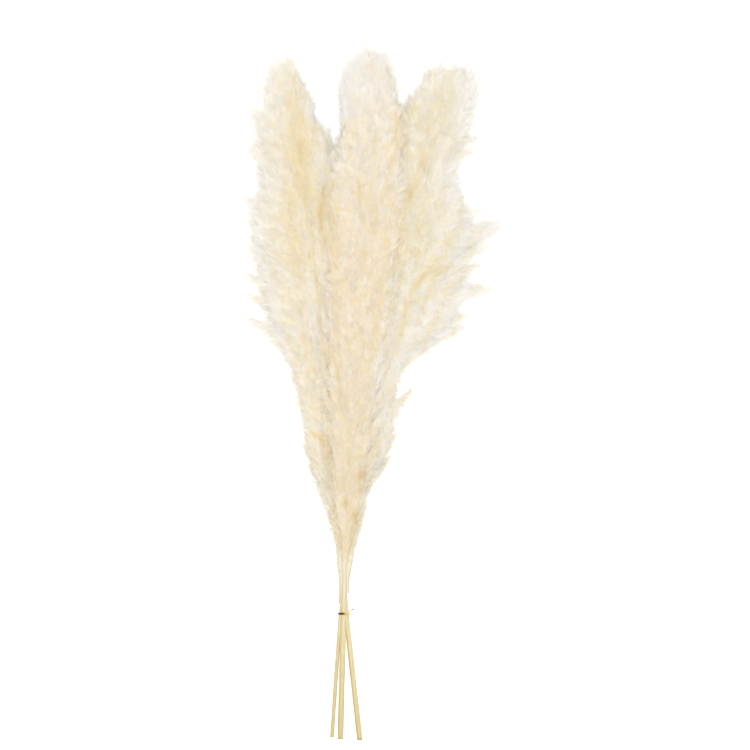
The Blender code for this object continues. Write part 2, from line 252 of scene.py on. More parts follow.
# Twigs: how many, where along the plume, and how each leaves its stem
TWIGS_PER_BRANCH = 18
TIP_TWIGS_SHARE = 2.3
HIDDEN_SHARE = 0.5
HIDDEN_BELOW = -0.5
WHORL_BELOW = 0.050
WHORL_ABOVE = 0.012
ROOTS_BELOW = 0.030
TWIG_CROWDING = 0.8
TWIG_SWAY = 0.3
TWIG_REACH = (0.84, 1.02)
LEAST_REACH = 0.001
LEAST_TIP_HEIGHT = 0.003
TOP_END = 0.030
TOP_REACH = (0.25, 1.02)
TWIG_LENGTHS = (0.060, 0.105)
TWIG_LEAN = (math.radians(10), math.radians(34))
LEAN_REACH = 0.030
LEAN_SHARES = (0.3, 1.2)
TWIG_ASIDE = 0.12
FLARE_FROM = 0.40
FLARE_TO = 0.66
FLARE_EDGE = 0.06
FLARE_SHARES = (0.5, 1.1)
TWIG_FULL_REACH = 0.026
TWIG_FULL = (0.42, 1.0)
TWIG_RADIUS = 0.00040
TWIG_THINS = 0.75
TWIG_STEPS = 4
TWIG_SIDES = 3
TWIG_ARM = 0.36
STALK_SHADE = 0.5
STALK_WARMTH = 0.5

# Locks: how their twigs follow one another back from the point, and how long and full they are
LOCK_TURN = 0.10
LOCK_TURN_ROUGH = 0.04
LOCK_RISE_ROUGH = 0.10
LOCK_HEIGHT_ROUGH = 0.0025
LOCK_FULL = 0.45
LOCK_FULLER = 0.05
LOCK_SWING = 0.0017
LOCK_BACK = 0.009
LOCK_RISE = (0.36, 0.46, 0.52)
LOCK_LENGTHS = (0.045, 0.068, 0.105)
LOCK_STRETCH = (0.05, 0.30)
HAIR_FULL = 0.12
OVERLAP = 0.012

# Spikelets and their hairs: places along the twig, sizes, and how far the hairs spread from it
SPIKELETS_PER_TWIG = 26
SPIKELET_CROWDING = 1.15
SPIKELETS_AT = (0.42, 0.58)
SPIKELETS_OUT = (0.0003, 0.0042)
SPIKELET_GROWS = (0.65, 0.35)
SPIKELET_GROWN_AT = 4
SPIKELET_SHRINKS = 0.62
BENT_HAIRS = 2
FINE_HAIRS = 4
HAIR_LENGTH = 0.0095
HAIR_LENGTHS = (0.65, 1.3)
LENGTH_BY_SIZE = (0.35, 0.65)
HAIR_WIDTH = 0.00036
HALF_WIDTHS = (0.35, 0.65)
FINE_WIDER = 1.35
HAIR_BENDS = (0.02, 0.14)
HAIR_TURN_ROUGH = 0.9
TWIG_SHADE = 0.6
HAIR_SHADE = 0.4
HUSK_LENGTH = 0.0052
HUSK_WIDTH = 0.0008
HUSK_SPREAD = 0.6
HUSK_WARMTH = 0.55
SPREAD_LOW = (math.radians(12), math.radians(44))
SPREAD_HIGH = (math.radians(18), math.radians(66))
SPREAD_RISE = (0.30, 0.14)
SPREAD_CROWDING = 0.8
SPREAD_BY_SIZE = (0.5, 0.5)
LEAST_HEIGHT = 0.0004
TILT = 0.45

# Soft wide strands along a twig's inner part
DOWN_PER_TWIG = 3
DOWN_AT = (0.08, 0.74)
DOWN_LENGTH = 0.020
DOWN_LENGTHS = (0.7, 1.2)
DOWN_WIDTH = 0.0022
DOWN_HALF_WIDTHS = (0.3, 0.6)
DOWN_SPREAD = (0.05, 0.32)
DOWN_BEND = 0.001
DOWN_WARMTH = 0.12
DOWN_ALONG = (0.0, 0.0, 0.3, 0.3, 0.6)

# The soft core of a plume: how far inside its reach, the least share of its reach, where it ends
# and narrows, and its lumps as (waves a metre along, ridges round the stem, size)
CORE_DEPTH = 0.0055
CORE_LEAST = 0.45
CORE_END = 0.008
CORE_FOOT = (0.186, 0.225)
CORE_NECK = 0.35
CORE_STEP = 0.0045
CORE_COLUMNS = 9
CORE_LUMPS = ((9, 5, 0.030), (14, -9, 0.025), (23, 14, 0.022), (60, -7, 0.022), (100, 11, 0.018))
CORE_ALONG = 0.35
CORE_SHADE = 0.5

# How far the soft surfaces are turned up for the light, and how unevenly
CORE_LIFT = 5.5
CORE_FACING_ROUGH = 0.15
HAIR_LIFT = 5.5
HAIR_FACING_ROUGH = 0.30
LIFT_BELOW = (0.002, 0.014)
LEAST_LIFT = 0.2
LIFT_ALONG = (0.30, 0.42)
LOW_LIFT = 0.28

# Tufts of hair on a core: the surface for each, and what changes from low to high on the plume
TUFT_AREA = 5.2e-6
TUFTS_BELOW = 0.4
TUFTS_UNDER = -0.3
TUFT_HAIRS = 9
TUFT_RADIUS = 0.0017
TUFT_STRETCH = 1.6
TUFT_POINT = 0.0006
TUFT_WIDTH = 0.00042
TUFT_HALF_WIDTHS = (0.4, 0.7)
TUFT_RISE = (0.28, 0.46)
TUFT_LEANS = (0.55, 0.52)
TUFT_LEAN_SHARES = (0.4, 1.5)
TUFT_TURN_ROUGH = 0.25
TUFT_LENGTHS = (0.0070, 0.0090)
TUFT_LENGTH_SHARES = (0.65, 1.1)
TUFT_REACHES = (0.75, 1.1)
TUFT_LONGEST = 0.0155
SEAM_LONGER = 0.6
# How much of a tuft hair's shade is its clump's, its tuft's and its own
TUFT_SHADES = (0.45, 0.40, 0.25)

# Clumps of longer and paler tufts, from waves in (across, along, height), in radians a metre
CLUMP_WAVES = np.random.default_rng(SEED).normal(0, (480, 170, 480), (16, 3))
CLUMP_DEPTH = (0.5, 1.5)
CLUMP_LENGTHS = (0.62, 1.38)

# Golden streaks that fan out from the neck: waves in the turn from +Y and in the distance
FAN_FOOT = (0.002, 0.190)
STREAK_WAVES = np.random.default_rng(SEED).normal(0, 1, (2, 9)) * ((260,), (16,))
STREAK_DEPTH = 1.6
STREAK_TOP = 0.640
STREAK_FADE = 0.10
STREAK_WARMTH = 0.75

# Seams between neighbours, where the hair is longer and painted warm shade lies: as wide as this
# share of the room between their stems
SEAMS = (("left", "middle"), ("middle", "right"))
SEAM_WIDE = 0.05
SEAM_AT = (0.26, 0.34, 0.58, 0.63)
SEAM_TOP = 0.15
SEAM_PAINTED_SHADE = 0.50

# How far hair leans out from its stem, as a slope at the plume's edge, and less at a neighbour
FAN = 0.30
FAN_AGAINST = 0.6

# The hair is paler near the bunch's outline, partly its whiter tips and partly painted light that
# lifts the shaded rims. From a little above the stem's height downwards the paleness gives way to
# painted warm shade on the underside. A plume's side lies less and less against its neighbour over
# JOINED_OVER.
PALE_DEPTH = 0.034
PALE_MOST = 1.2
PALE_TOP = 0.010
PAINTED_SHADE_BELOW = (-0.004, 0.010)
UNDER_PAINTED_SHADE = 0.12
JOINED_OVER = 0.030

# The soft inside of a lock: which part of its curve, and how wide for each twig
LOCK_BODY = (0.45, 0.95)
LOCK_BODY_FROM = 0.52
LOCK_BODY_START = 0.1
LOCK_BODY_STEPS = 12
LOCK_BODY_SIDES = 8
LOCK_BODY_FLAT = 0.55
LOCK_BODY_RADIUS = 0.0014
LOCK_BODY_POINT = 0.75
LOCK_BODY_ROUGH = 0.08

GOLDEN_ANGLE = math.pi * (3 - math.sqrt(5))


def add_object(name, data):
    """A new object with this data, in the scene."""
    thing = bpy.data.objects.new(name, data)
    bpy.context.scene.collection.objects.link(thing)
    return thing


def column(knots, index, along):
    """One column of the knots, read at each place along on a smooth curve through them."""
    table = np.asarray(knots)
    places, values = table[:, 0], table[:, index]
    slopes = np.empty(len(places))
    slopes[1:-1] = (values[2:] - values[:-2]) / (places[2:] - places[:-2])
    slopes[0] = (values[1] - values[0]) / (places[1] - places[0])
    slopes[-1] = (values[-1] - values[-2]) / (places[-1] - places[-2])
    along = np.clip(along, places[0], places[-1])
    i = np.clip(np.searchsorted(places, along, side="right") - 1, 0, len(places) - 2)
    step = places[i + 1] - places[i]
    t = (along - places[i]) / step
    return (
        (2 * t**3 - 3 * t**2 + 1) * values[i]
        + (t**3 - 2 * t**2 + t) * step * slopes[i]
        + (3 * t**2 - 2 * t**3) * values[i + 1]
        + (t**3 - t**2) * step * slopes[i + 1]
    )


def unit(vectors):
    lengths = np.linalg.norm(vectors, axis=-1, keepdims=True)
    return vectors / np.maximum(lengths, LEAST_LENGTH)


def risen(value, start, room):
    """How far the value is past the start, as a share of the room, 0 to 1."""
    return np.clip((value - start) / room, 0, 1)


def ring_turns(count):
    """The turns of this many points evenly round a ring."""
    return np.arange(count) * math.tau / count


def straight(line, value):
    """The height at this value of a straight line given as its height at 0 and its slope."""
    return line[0] + line[1] * value


def centre(reed, along):
    """The stem's centre at each place along it."""
    line = REEDS[reed]["line"]
    along = np.asarray(along, float)
    return np.stack([column(line, 1, along), along, column(line, 2, along)], axis=-1)


def stem_way(reed, along):
    """The stem's own direction at each place along it."""
    return unit(centre(reed, along + WAY_STEP) - centre(reed, along - WAY_STEP))


def from_stem(reed, points):
    """The direction square to the bunch that leads from the stem to each point."""
    return unit((points - centre(reed, points[..., 1])) * SIDE)


def outward(angle):
    """The direction square to the bunch, turned from +X to +Z by the angle."""
    return np.stack([np.cos(angle), np.zeros_like(angle), np.sin(angle)], axis=-1)


def beside_other(reed, along, side):
    """How far the plume's left (0) or right (1) side lies against a neighbour, 0 to 1."""
    return np.clip((REEDS[reed]["joined"][side] + JOINED_OVER - along) / JOINED_OVER, 0, 1)


def on_side(reed, along, offset):
    """On the side of the stem that the offset is on: the half width, and beside_other()."""
    widths = REEDS[reed]["half_widths"]
    wide = [column(widths, index, along) for index in (1, 2)]
    against = [beside_other(reed, along, side) for side in (0, 1)]
    return [np.where(offset > 0, right, left) for left, right in (wide, against)]


def flaring(along):
    """How much of a plume's flare there is at each place along it, 0 to 1."""
    return risen(along, FLARE_FROM, FLARE_EDGE) * risen(-along, -FLARE_TO, FLARE_EDGE)


def reach(reed, along, angle):
    """How far a plume reaches from its stem: its own shape, its neighbours and the surface."""
    widths = REEDS[reed]["half_widths"]
    here = centre(reed, along)
    aside, upward = np.cos(angle), np.sin(angle)
    half_width, against = on_side(reed, along, aside)
    half_height = column(widths, 3, along) * np.where(upward > 0, 1.0, DEPTH_BELOW)
    power = np.where(upward > 0, ROUND + (SQUARE - ROUND) * against, ROUND)
    total = np.abs(aside / half_width) ** power + np.abs(upward / half_height) ** power
    far = total ** (-1 / power)
    for other in REEDS:
        if other == reed:
            continue
        away = centre(other, along) - here
        apart = away[..., 0] * aside + away[..., 2] * upward
        between = np.hypot(away[..., 0], away[..., 2])
        limit = between * (between / 2 + OVERLAP / 2) / np.maximum(apart, TINY)
        far = np.where(apart > TINY, np.minimum(far, limit), far)
    floor = here[..., 2] / np.maximum(-upward, TINY)
    return np.where(upward < -TINY, np.minimum(far, floor), far)


def branch_angle(whorl, branch):
    return math.tau * branch / BRANCHES_PER_WHORL + WHORL_TURNS[whorl] * TURN_STEP


def home(reed, tip):
    """The whorl and branch that a lock with this tip grows from."""
    tips = REEDS[reed]["whorl_tips"]
    inside = [whorl for whorl in range(WHORLS) if tip[1] <= tips[whorl] + WHORL_ABOVE]
    if not inside:
        return WHORLS, 0
    away = np.array(tip[:3]) - centre(reed, tip[1])
    angle = math.atan2(away[2], away[0])
    turned = (angle - WHORL_TURNS[inside[0]] * TURN_STEP) / math.tau * BRANCHES_PER_WHORL
    return inside[0], round(turned) % BRANCHES_PER_WHORL


def twig_curves(reed, tips, lengths, end_ways):
    """Control points of the cubic curves from the stem to the twigs' tips, shape (n, 4, 3)."""
    root_along = np.maximum(tips[:, 1] - lengths, PLUME_BASE - ROOTS_BELOW)
    roots = centre(reed, root_along)
    arm = TWIG_ARM * np.linalg.norm(tips - roots, axis=1)[:, None]
    lower = roots + stem_way(reed, root_along) * arm
    return np.stack([roots, lower, tips - end_ways * arm, tips], axis=1)


def leant(ways, sides, angle, extra=0.0):
    """Unit vectors leant by an angle from the ways to the sides, with something extra added."""
    return unit(ways * np.cos(angle)[..., None] + sides * np.sin(angle)[..., None] + extra)


def branch_twigs(rng, reed, whorl, branch):
    """The twigs that fill one branch's own part of the plume, and how full each is."""
    shape = REEDS[reed]
    whorl_tips, end = shape["whorl_tips"], shape["half_widths"][-1][0]
    count = TWIGS_PER_BRANCH
    if whorl == WHORLS:
        low, high = whorl_tips[-1] - WHORL_BELOW, end
        middle, spread = 0.0, math.tau
        count = int(count * TIP_TWIGS_SHARE)
    else:
        low = PLUME_BASE if whorl == 0 else whorl_tips[whorl - 1] - WHORL_BELOW
        high = whorl_tips[whorl] + WHORL_ABOVE
        middle = branch_angle(whorl, branch)
        spread = math.tau / BRANCHES_PER_WHORL
        if math.sin(middle) < HIDDEN_BELOW:
            count = int(count * HIDDEN_SHARE)
    ranks = (np.arange(count) + rng.random(count)) / count
    along = low + (high - low) * ranks**TWIG_CROWDING
    sway = (np.arange(count) * GOLDEN_ANGLE / math.tau + rng.random(count) * TWIG_SWAY) % 1.0
    angle = middle + (sway - 0.5) * spread
    far = reach(reed, along, angle)
    share = rng.uniform(*TWIG_REACH, count)
    if whorl == WHORLS:
        share = np.where(along > end - TOP_END, rng.uniform(*TOP_REACH, count), share)
    out = outward(angle)
    tips = centre(reed, along) + out * np.maximum(far * share, LEAST_REACH)[:, None]
    tips[:, 2] = np.maximum(tips[:, 2], LEAST_TIP_HEIGHT)
    lengths = rng.uniform(*TWIG_LENGTHS, count)
    lengths = np.minimum(lengths, tips[:, 1] - PLUME_BASE + ROOTS_BELOW)
    facing = np.maximum(0, np.cos(angle - shape["flare_side"]))
    lean = rng.uniform(*TWIG_LEAN, count) * np.clip(far / LEAN_REACH, *LEAN_SHARES)
    lean += shape["flare"] * facing * flaring(along) * rng.uniform(*FLARE_SHARES, count)
    aside = outward(angle + math.pi / 2) * rng.normal(0, TWIG_ASIDE, count)[:, None]
    ways = leant(stem_way(reed, along), out, lean, aside)
    return twig_curves(reed, tips, lengths, ways), np.clip(far / TWIG_FULL_REACH, *TWIG_FULL)


def lock_twigs(rng, reed, whorl, branch):
    """The locks that stick out of one branch: a few twigs that close in on one point."""
    curves, fullness = [], []
    for lock in REEDS[reed]["free_tips"]:
        if home(reed, lock) != (whorl, branch):
            continue
        across, along, height, lean, count = lock
        side = math.copysign(1, across - centre(reed, along)[0])
        lean = math.radians(abs(lean))
        k = np.arange(count)
        turn = lean - LOCK_TURN * k + rng.normal(0, LOCK_TURN_ROUGH, count)
        rise = rng.normal(0.0, LOCK_RISE_ROUGH, count)
        ways = unit(np.stack([side * np.sin(turn), np.cos(turn), rise], axis=1))
        main = np.array((side * math.sin(lean), math.cos(lean), 0.0))
        back = LOCK_BACK * k
        beside = np.array((side * math.cos(lean), -math.sin(lean), 0.0))
        swing = np.where(k % 2 == 0, -1, 1) * LOCK_SWING * k
        tips = np.array((across, along, height)) - main * back[:, None]
        tips = tips + beside * swing[:, None]
        tips[:, 2] += rng.normal(0, LOCK_HEIGHT_ROUGH, count)
        sideways = abs(across - centre(reed, along)[0])
        length = np.interp(along, LOCK_RISE, LOCK_LENGTHS)
        length += np.interp(along, LOCK_RISE[1:], LOCK_STRETCH) * sideways
        lengths = np.full(count, min(length, along - PLUME_BASE + ROOTS_BELOW))
        curves.append(twig_curves(reed, tips, lengths, ways))
        full = LOCK_FULL + LOCK_FULLER * count if count > 1 else HAIR_FULL
        fullness.append(np.full(count, full))
    return curves, fullness


def curve_points(controls, t):
    """Points and unit directions at t of each cubic: controls (n, 4, 3), t (n, m)."""
    t = t[..., None]
    a, b, c, d = (controls[:, None, k] for k in range(4))
    points = (1 - t) ** 3 * a + 3 * (1 - t) ** 2 * t * b + 3 * (1 - t) * t**2 * c + t**3 * d
    ways = 3 * (1 - t) ** 2 * (b - a) + 6 * (1 - t) * t * (c - b) + 3 * t**2 * (d - c)
    return points, unit(ways)


def square_to(ways, turn):
    """Unit vectors square to the ways, turned about them by an angle."""
    up = np.zeros_like(ways)
    up[..., 2] = 1.0
    first = unit(np.cross(ways, up))
    second = np.cross(ways, first)
    turn = turn[..., None]
    return first * np.cos(turn) + second * np.sin(turn)


def spots(points, places):
    """The strongest of some soft round places at each point, seen from above."""
    most = np.zeros(points.shape[:-1])
    for across, along, wide, tall, strength in places:
        away = ((points[..., 0] - across) / wide) ** 2 + ((points[..., 1] - along) / tall) ** 2
        most = np.maximum(most, strength * np.exp(-away / 2))
    return most


def lines(points, table):
    """How near each point is to some soft lines, seen from above."""
    most = np.zeros(points.shape[:-1])
    for wide, strength, places in table:
        for start, end in zip(places, places[1:]):
            step = np.subtract(end, start)
            beside = points[..., :2] - start
            share = np.clip(beside @ step / (step @ step), 0, 1)
            away = np.linalg.norm(beside - share[..., None] * step, axis=-1)
            most = np.maximum(most, strength * np.exp(-((away / wide) ** 2) / 2))
    return most


def warmth(points):
    """How warm the hair's colour is at each point, 0 to 1: golden places, streaks and the neck, with
    painted shade along creases and seams.
    """
    along, clump = points[..., 1], clumps(points)
    warm = LOW_WARMTH * risen(-along, -LOW_WARMTH_TOP, LOW_WARMTH_FADE)
    # Warm places: golden patches, and painted shade along seams and on the left plume's inner side.
    warm = np.maximum(warm, spots(points, WARM_PLACES_AND_PAINTED_SHADE)) * straight(PLACES_BY_CLUMP, clump)
    # Painted golden shade along creases and seams.
    warm = np.maximum(warm, lines(points, PAINTED_CREASE_SHADE) * straight(CREASE_SHADE_BY_CLUMP, clump))
    free = risen(-along, -STREAK_TOP, STREAK_FADE)
    warm = np.maximum(warm, STREAK_WARMTH * free * streaks(points))
    # Painted warm shade along the seams between plumes.
    return np.maximum(warm, SEAM_PAINTED_SHADE * seam(points))


def streaks(points):
    """How golden the streaks are that rise and fan out from the bunch's neck, 0 to 1."""
    across, along = points[..., 0] - FAN_FOOT[0], points[..., 1] - FAN_FOOT[1]
    turn, far = np.arctan2(across, along), np.hypot(across, along)
    waves = np.sin(turn[..., None] * STREAK_WAVES[0] + far[..., None] * STREAK_WAVES[1])
    return np.clip(STREAK_DEPTH * waves.mean(axis=-1), 0, 1)


def seam(points):
    """How close each point is to a seam between two plumes, seen from above, 0 to 1."""
    along, most = points[..., 1], 0.0
    for left, right in SEAMS:
        first, last = centre(left, along)[..., 0], centre(right, along)[..., 0]
        share = (points[..., 0] - first) / np.maximum(last - first, LEAST_APART)
        near = np.exp(-(((share - 0.5) / SEAM_WIDE) ** 2) / 2) * beside_other(left, along, 1)
        most = np.maximum(most, near * np.interp(along, SEAM_AT, (0.0, 1.0, 1.0, SEAM_TOP)))
    return most


def inset(reed, points):
    """How far inside its plume's free sides each point is, seen from above."""
    widths, along = REEDS[reed]["half_widths"], points[..., 1]
    offset = points[..., 0] - centre(reed, along)[..., 0]
    left = column(widths, 1, along) + offset + PALE_DEPTH * beside_other(reed, along, 0)
    right = column(widths, 2, along) - offset + PALE_DEPTH * beside_other(reed, along, 1)
    return np.minimum(np.minimum(left, right), widths[-1][0] + PALE_TOP - along)


def clumps(points):
    """How far each place is inside a clump of tufts, 0 to 1."""
    waves = np.sin(points @ CLUMP_WAVES.T + np.arange(len(CLUMP_WAVES)))
    return np.clip(straight(CLUMP_DEPTH, waves.mean(axis=-1)), 0, 1)


class Mesh:
    """Small parts gathered into one mesh, each with its own cell for the baked colours."""

    def __init__(self, reed):
        self.reed = reed
        self.points, self.faces, self.cells, self.looks, self.facing = [], [], [], [], []
        self.total = 0
        self.count = 0

    def add(self, shape, corners, facing, along, random, warm):
        """Add copies of a shape: its k corners, each one's places in an array (..., 3).

        The colours' channels: how far along the strand, a random number, and the hair's warmth, from
        0 where it is palest through 0.5 where it is plain to 1 where it is golden. Palest and golden
        are partly the hair's own colour and partly painted light and painted shade.
        """
        points = np.stack(corners, axis=-2).reshape(-1, len(corners), 3)
        n, k = points.shape[:2]
        pattern, cell = np.asarray(shape[0]), np.asarray(shape[1])
        starts = self.total + np.arange(n)[:, None, None] * k
        self.faces.append((pattern[None] + starts).reshape(-1, 3))
        points[..., 2] = np.maximum(points[..., 2], LEAST_HEIGHT)
        self.points.append(points.reshape(-1, 3))
        facing = facing.reshape(-1, 1, 3)
        self.facing.append(np.broadcast_to(facing, (n, k, 3)).reshape(-1, 3))
        looks = np.ones((n, k, 4))
        looks[..., 0] = along
        looks[..., 1] = np.reshape(random, (-1, 1))
        warm = np.clip(warm + warmth(points), 0, 1)
        middle = points.mean(axis=1)
        # Paler near the outline: partly the hair's whiter tips, partly painted light that lifts the
        # shaded rims.
        pale = np.clip(PALE_MOST * (1 - inset(self.reed, middle) / PALE_DEPTH), 0, 1)
        # Below the stem's height the paleness gives way to painted warm shade on the underside.
        under = np.interp(beneath(self.reed, middle), PAINTED_SHADE_BELOW, (0.0, 1.0))[:, None]
        # Paler places: pale patches, and painted light over shaded gaps and seams.
        pale = np.maximum(pale, spots(middle, PALE_PLACES_AND_PAINTED_LIGHT))
        pale = np.maximum(pale, lines(middle, PALE_STRANDS))[:, None] * (1 - under)
        warm = np.maximum(warm, UNDER_PAINTED_SHADE * under)
        looks[..., 2] = 0.5 + 0.5 * warm - 0.5 * pale * (1 - warm)
        self.looks.append(looks.reshape(-1, 4))
        own = cell[pattern].reshape(1, -1, 2)
        self.cells.append((np.arange(self.count, self.count + n), own))
        self.total += n * k
        self.count += n

    def finish(self, name, material):
        points = np.concatenate(self.points) - MIDDLE
        faces = np.concatenate(self.faces)
        side = math.ceil(math.sqrt(self.count))
        corners = []
        for numbers, own in self.cells:
            start = np.stack([numbers % side, numbers // side], axis=1)[:, None]
            corners.append(((start + own) / side).reshape(-1, 2))
        data = bpy.data.meshes.new(name)
        data.vertices.add(len(points))
        data.vertices.foreach_set("co", points.astype(np.float32).ravel())
        data.loops.add(faces.size)
        data.loops.foreach_set("vertex_index", faces.astype(np.int32).ravel())
        data.polygons.add(len(faces))
        data.polygons.foreach_set("loop_start", np.arange(0, faces.size, 3, dtype=np.int32))
        layer = data.uv_layers.new(name="OFBake")
        layer.uv.foreach_set("vector", np.concatenate(corners).astype(np.float32).ravel())
        looks = data.color_attributes.new("strand", "FLOAT_COLOR", "POINT")
        looks.data.foreach_set("color", np.concatenate(self.looks).astype(np.float32).ravel())
        data.update(calc_edges=True)
        data.normals_split_custom_set_from_vertices(np.concatenate(self.facing))
        data.materials.append(material)
        return add_object(name, data)


# Each shape is its triangles and its corners' places in its cell.
BENT = (
    ((0, 1, 3), (0, 3, 2), (2, 3, 4)),
    ((0.12, 0.12), (0.88, 0.12), (0.12, 0.5), (0.88, 0.5), (0.5, 0.88)),
)
BENT_ALONG = (0.0, 0.0, 0.5, 0.5, 1.0)
BENT_MIDDLE = 0.5
BENT_NARROWS = 0.8
FINE = (((0, 1, 2),), ((0.12, 0.12), (0.88, 0.12), (0.5, 0.88)))
FINE_ALONG = (0.0, 0.0, 1.0)
HUSK = (((0, 1, 2), (1, 3, 2)), ((0.5, 0.12), (0.88, 0.5), (0.12, 0.5), (0.5, 0.88)))
HUSK_ALONG = (0.0, 0.3, 0.3, 0.6)
HUSK_MIDDLE = 0.4
STRIP = (((0, 1, 3), (0, 3, 2)), ((0.12, 0.12), (0.88, 0.12), (0.12, 0.88), (0.88, 0.88)))


def add_bent(mesh, roots, ways, lengths, half, facing, bends, random, warm, along=BENT_ALONG):
    """Pointed ribbons whose middle is moved aside by bends; half is half their width."""
    middles = roots + ways * lengths[..., None] * BENT_MIDDLE + bends
    tips = roots + ways * lengths[..., None]
    narrow = half * BENT_NARROWS
    corners = [roots - half, roots + half, middles - narrow, middles + narrow, tips]
    mesh.add(BENT, corners, facing, along, random, warm)


def add_fine(mesh, roots, ways, lengths, half, facing, random):
    """Straight hairs, one pointed triangle each."""
    corners = [roots - half, roots + half, roots + ways * lengths[..., None]]
    mesh.add(FINE, corners, facing, FINE_ALONG, random, 0.0)


def add_husks(mesh, roots, ways, lengths, half, facing, random):
    """Small pointed husks, widest before their middle."""
    middles = roots + ways * lengths[..., None] * HUSK_MIDDLE
    corners = [roots, middles + half, middles - half, roots + ways * lengths[..., None]]
    mesh.add(HUSK, corners, facing, HUSK_ALONG, random, HUSK_WARMTH)


def add_stalks(mesh, controls):
    """Each twig's own thin stalk, a three-sided tube."""
    n = len(controls)
    t = np.linspace(0, 1, TWIG_STEPS + 1)[None].repeat(n, axis=0)
    points, ways = curve_points(controls, t)
    radius = TWIG_RADIUS * (1 - TWIG_THINS * t)[..., None]
    sides = [
        points + square_to(ways, np.full(t.shape, math.tau * k / TWIG_SIDES)) * radius
        for k in range(TWIG_SIDES + 1)
    ]
    for k in range(TWIG_SIDES):
        here, there = sides[k], sides[k + 1]
        corners = [here[:, :-1], there[:, :-1], here[:, 1:], there[:, 1:]]
        away = unit(np.cross(corners[1] - corners[0], corners[3] - corners[0]))
        mesh.add(STRIP, corners, away, 0.0, STALK_SHADE, STALK_WARMTH)


def turn_to(half, ways, facing):
    """Half widths, swapped over where their ribbon would turn its back to where it faces."""
    front = np.sum(np.cross(half, ways) * facing, axis=-1, keepdims=True)
    return np.where(front < 0, -half, half)


def beneath(reed, points):
    """How far each point is under the height of its plume's stem."""
    return centre(reed, points[..., 1])[..., 2] - points[..., 2]


def lifted(reed, points, lift):
    """How far a soft surface is turned up for the light: less on the underside and near the neck."""
    share = np.interp(beneath(reed, points), LIFT_BELOW, (1.0, LEAST_LIFT))
    share = share * np.interp(points[..., 1], LIFT_ALONG, (LOW_LIFT, 1.0))
    return np.array((0.0, 0.0, lift)) * share[..., None]


def faces_out(rng, reed, points, lift, rough):
    """Where a soft surface there faces for the light: away from the stem, and mostly up."""
    rough_ways = rng.normal(0, rough, points.shape)
    return unit(from_stem(reed, points) + lifted(reed, points, lift) + rough_ways)


def add_spikelets(mesh, rng, reed, controls, full):
    """Husks and fine hairs round each twig, nearer together towards its tip."""
    n, m = len(controls), SPIKELETS_PER_TWIG
    u = 1 - (1 - (np.arange(m)[None] + rng.random((n, m))) / m) ** SPIKELET_CROWDING
    points, ways = curve_points(controls, straight(SPIKELETS_AT, u))
    turn = np.arange(m)[None] * GOLDEN_ANGLE + rng.uniform(0, 1.0, (n, m))
    size = straight(SPIKELET_GROWS, np.minimum(1, SPIKELET_GROWN_AT * u))
    size = size * (1 - SPIKELET_SHRINKS * u**3) * full[:, None]
    aside = square_to(ways, turn)
    seats = points + aside * (size * rng.uniform(*SPIKELETS_OUT, (n, m)))[..., None]
    high = risen(points[..., 1], *SPREAD_RISE)
    least = SPREAD_LOW[0] + (SPREAD_HIGH[0] - SPREAD_LOW[0]) * high
    most = SPREAD_LOW[1] + (SPREAD_HIGH[1] - SPREAD_LOW[1]) * high
    facing = faces_out(rng, reed, points, HAIR_LIFT, HAIR_FACING_ROUGH)
    twig_shade = rng.random((n, 1))

    def strand(length, width, narrow=1.0):
        """Where one hair of each spikelet points, and its length, half width and shade."""
        spread = (least + (most - least) * rng.random((n, m)) ** SPREAD_CROWDING) * narrow
        spread = spread * straight(SPREAD_BY_SIZE, size)
        around = square_to(ways, turn + rng.normal(0, HAIR_TURN_ROUGH, (n, m)))
        way = leant(ways, around, spread)
        lengths = length * rng.uniform(*HAIR_LENGTHS, (n, m)) * straight(LENGTH_BY_SIZE, size)
        flat = unit(np.cross(way, facing + rng.normal(0, TILT, (n, m, 3))))
        half = flat * (width * rng.uniform(*HALF_WIDTHS, (n, m)))[..., None]
        half = turn_to(half, way, facing)
        shade = TWIG_SHADE * twig_shade + HAIR_SHADE * rng.random((n, m))
        return around, way, lengths, half, shade

    for _ in range(BENT_HAIRS):
        around, way, lengths, half, shade = strand(HAIR_LENGTH, HAIR_WIDTH)
        bends = around * (lengths * rng.uniform(*HAIR_BENDS, (n, m)))[..., None]
        add_bent(mesh, seats, way, lengths, half, facing, bends, shade, 0.0)
    for _ in range(FINE_HAIRS):
        _, way, lengths, half, shade = strand(HAIR_LENGTH, HAIR_WIDTH * FINE_WIDER)
        add_fine(mesh, seats, way, lengths, half, facing, shade)
    _, way, lengths, half, shade = strand(HUSK_LENGTH, HUSK_WIDTH, HUSK_SPREAD)
    add_husks(mesh, seats, way, lengths, half, facing, shade)


def add_down(mesh, rng, reed, controls, full):
    """Soft wide strands that fill the twig's inner part."""
    n, m = len(controls), DOWN_PER_TWIG
    u = (np.arange(m)[None] + rng.random((n, m))) / m
    points, ways = curve_points(controls, straight(DOWN_AT, u))
    around = square_to(ways, rng.uniform(0, math.tau, (n, m)))
    way = leant(ways, around, rng.uniform(*DOWN_SPREAD, (n, m)))
    lengths = DOWN_LENGTH * rng.uniform(*DOWN_LENGTHS, (n, m)) * full[:, None]
    flat = unit(np.cross(way, from_stem(reed, points) + rng.normal(0, TILT, (n, m, 3))))
    wide = DOWN_WIDTH * rng.uniform(*DOWN_HALF_WIDTHS, (n, m)) * full[:, None]
    facing = faces_out(rng, reed, points, HAIR_LIFT, HAIR_FACING_ROUGH)
    half = turn_to(flat * wide[..., None], way, facing)
    bends, shade = around * DOWN_BEND, rng.random((n, m))
    add_bent(mesh, points, way, lengths, half, facing, bends, shade, DOWN_WARMTH, DOWN_ALONG)


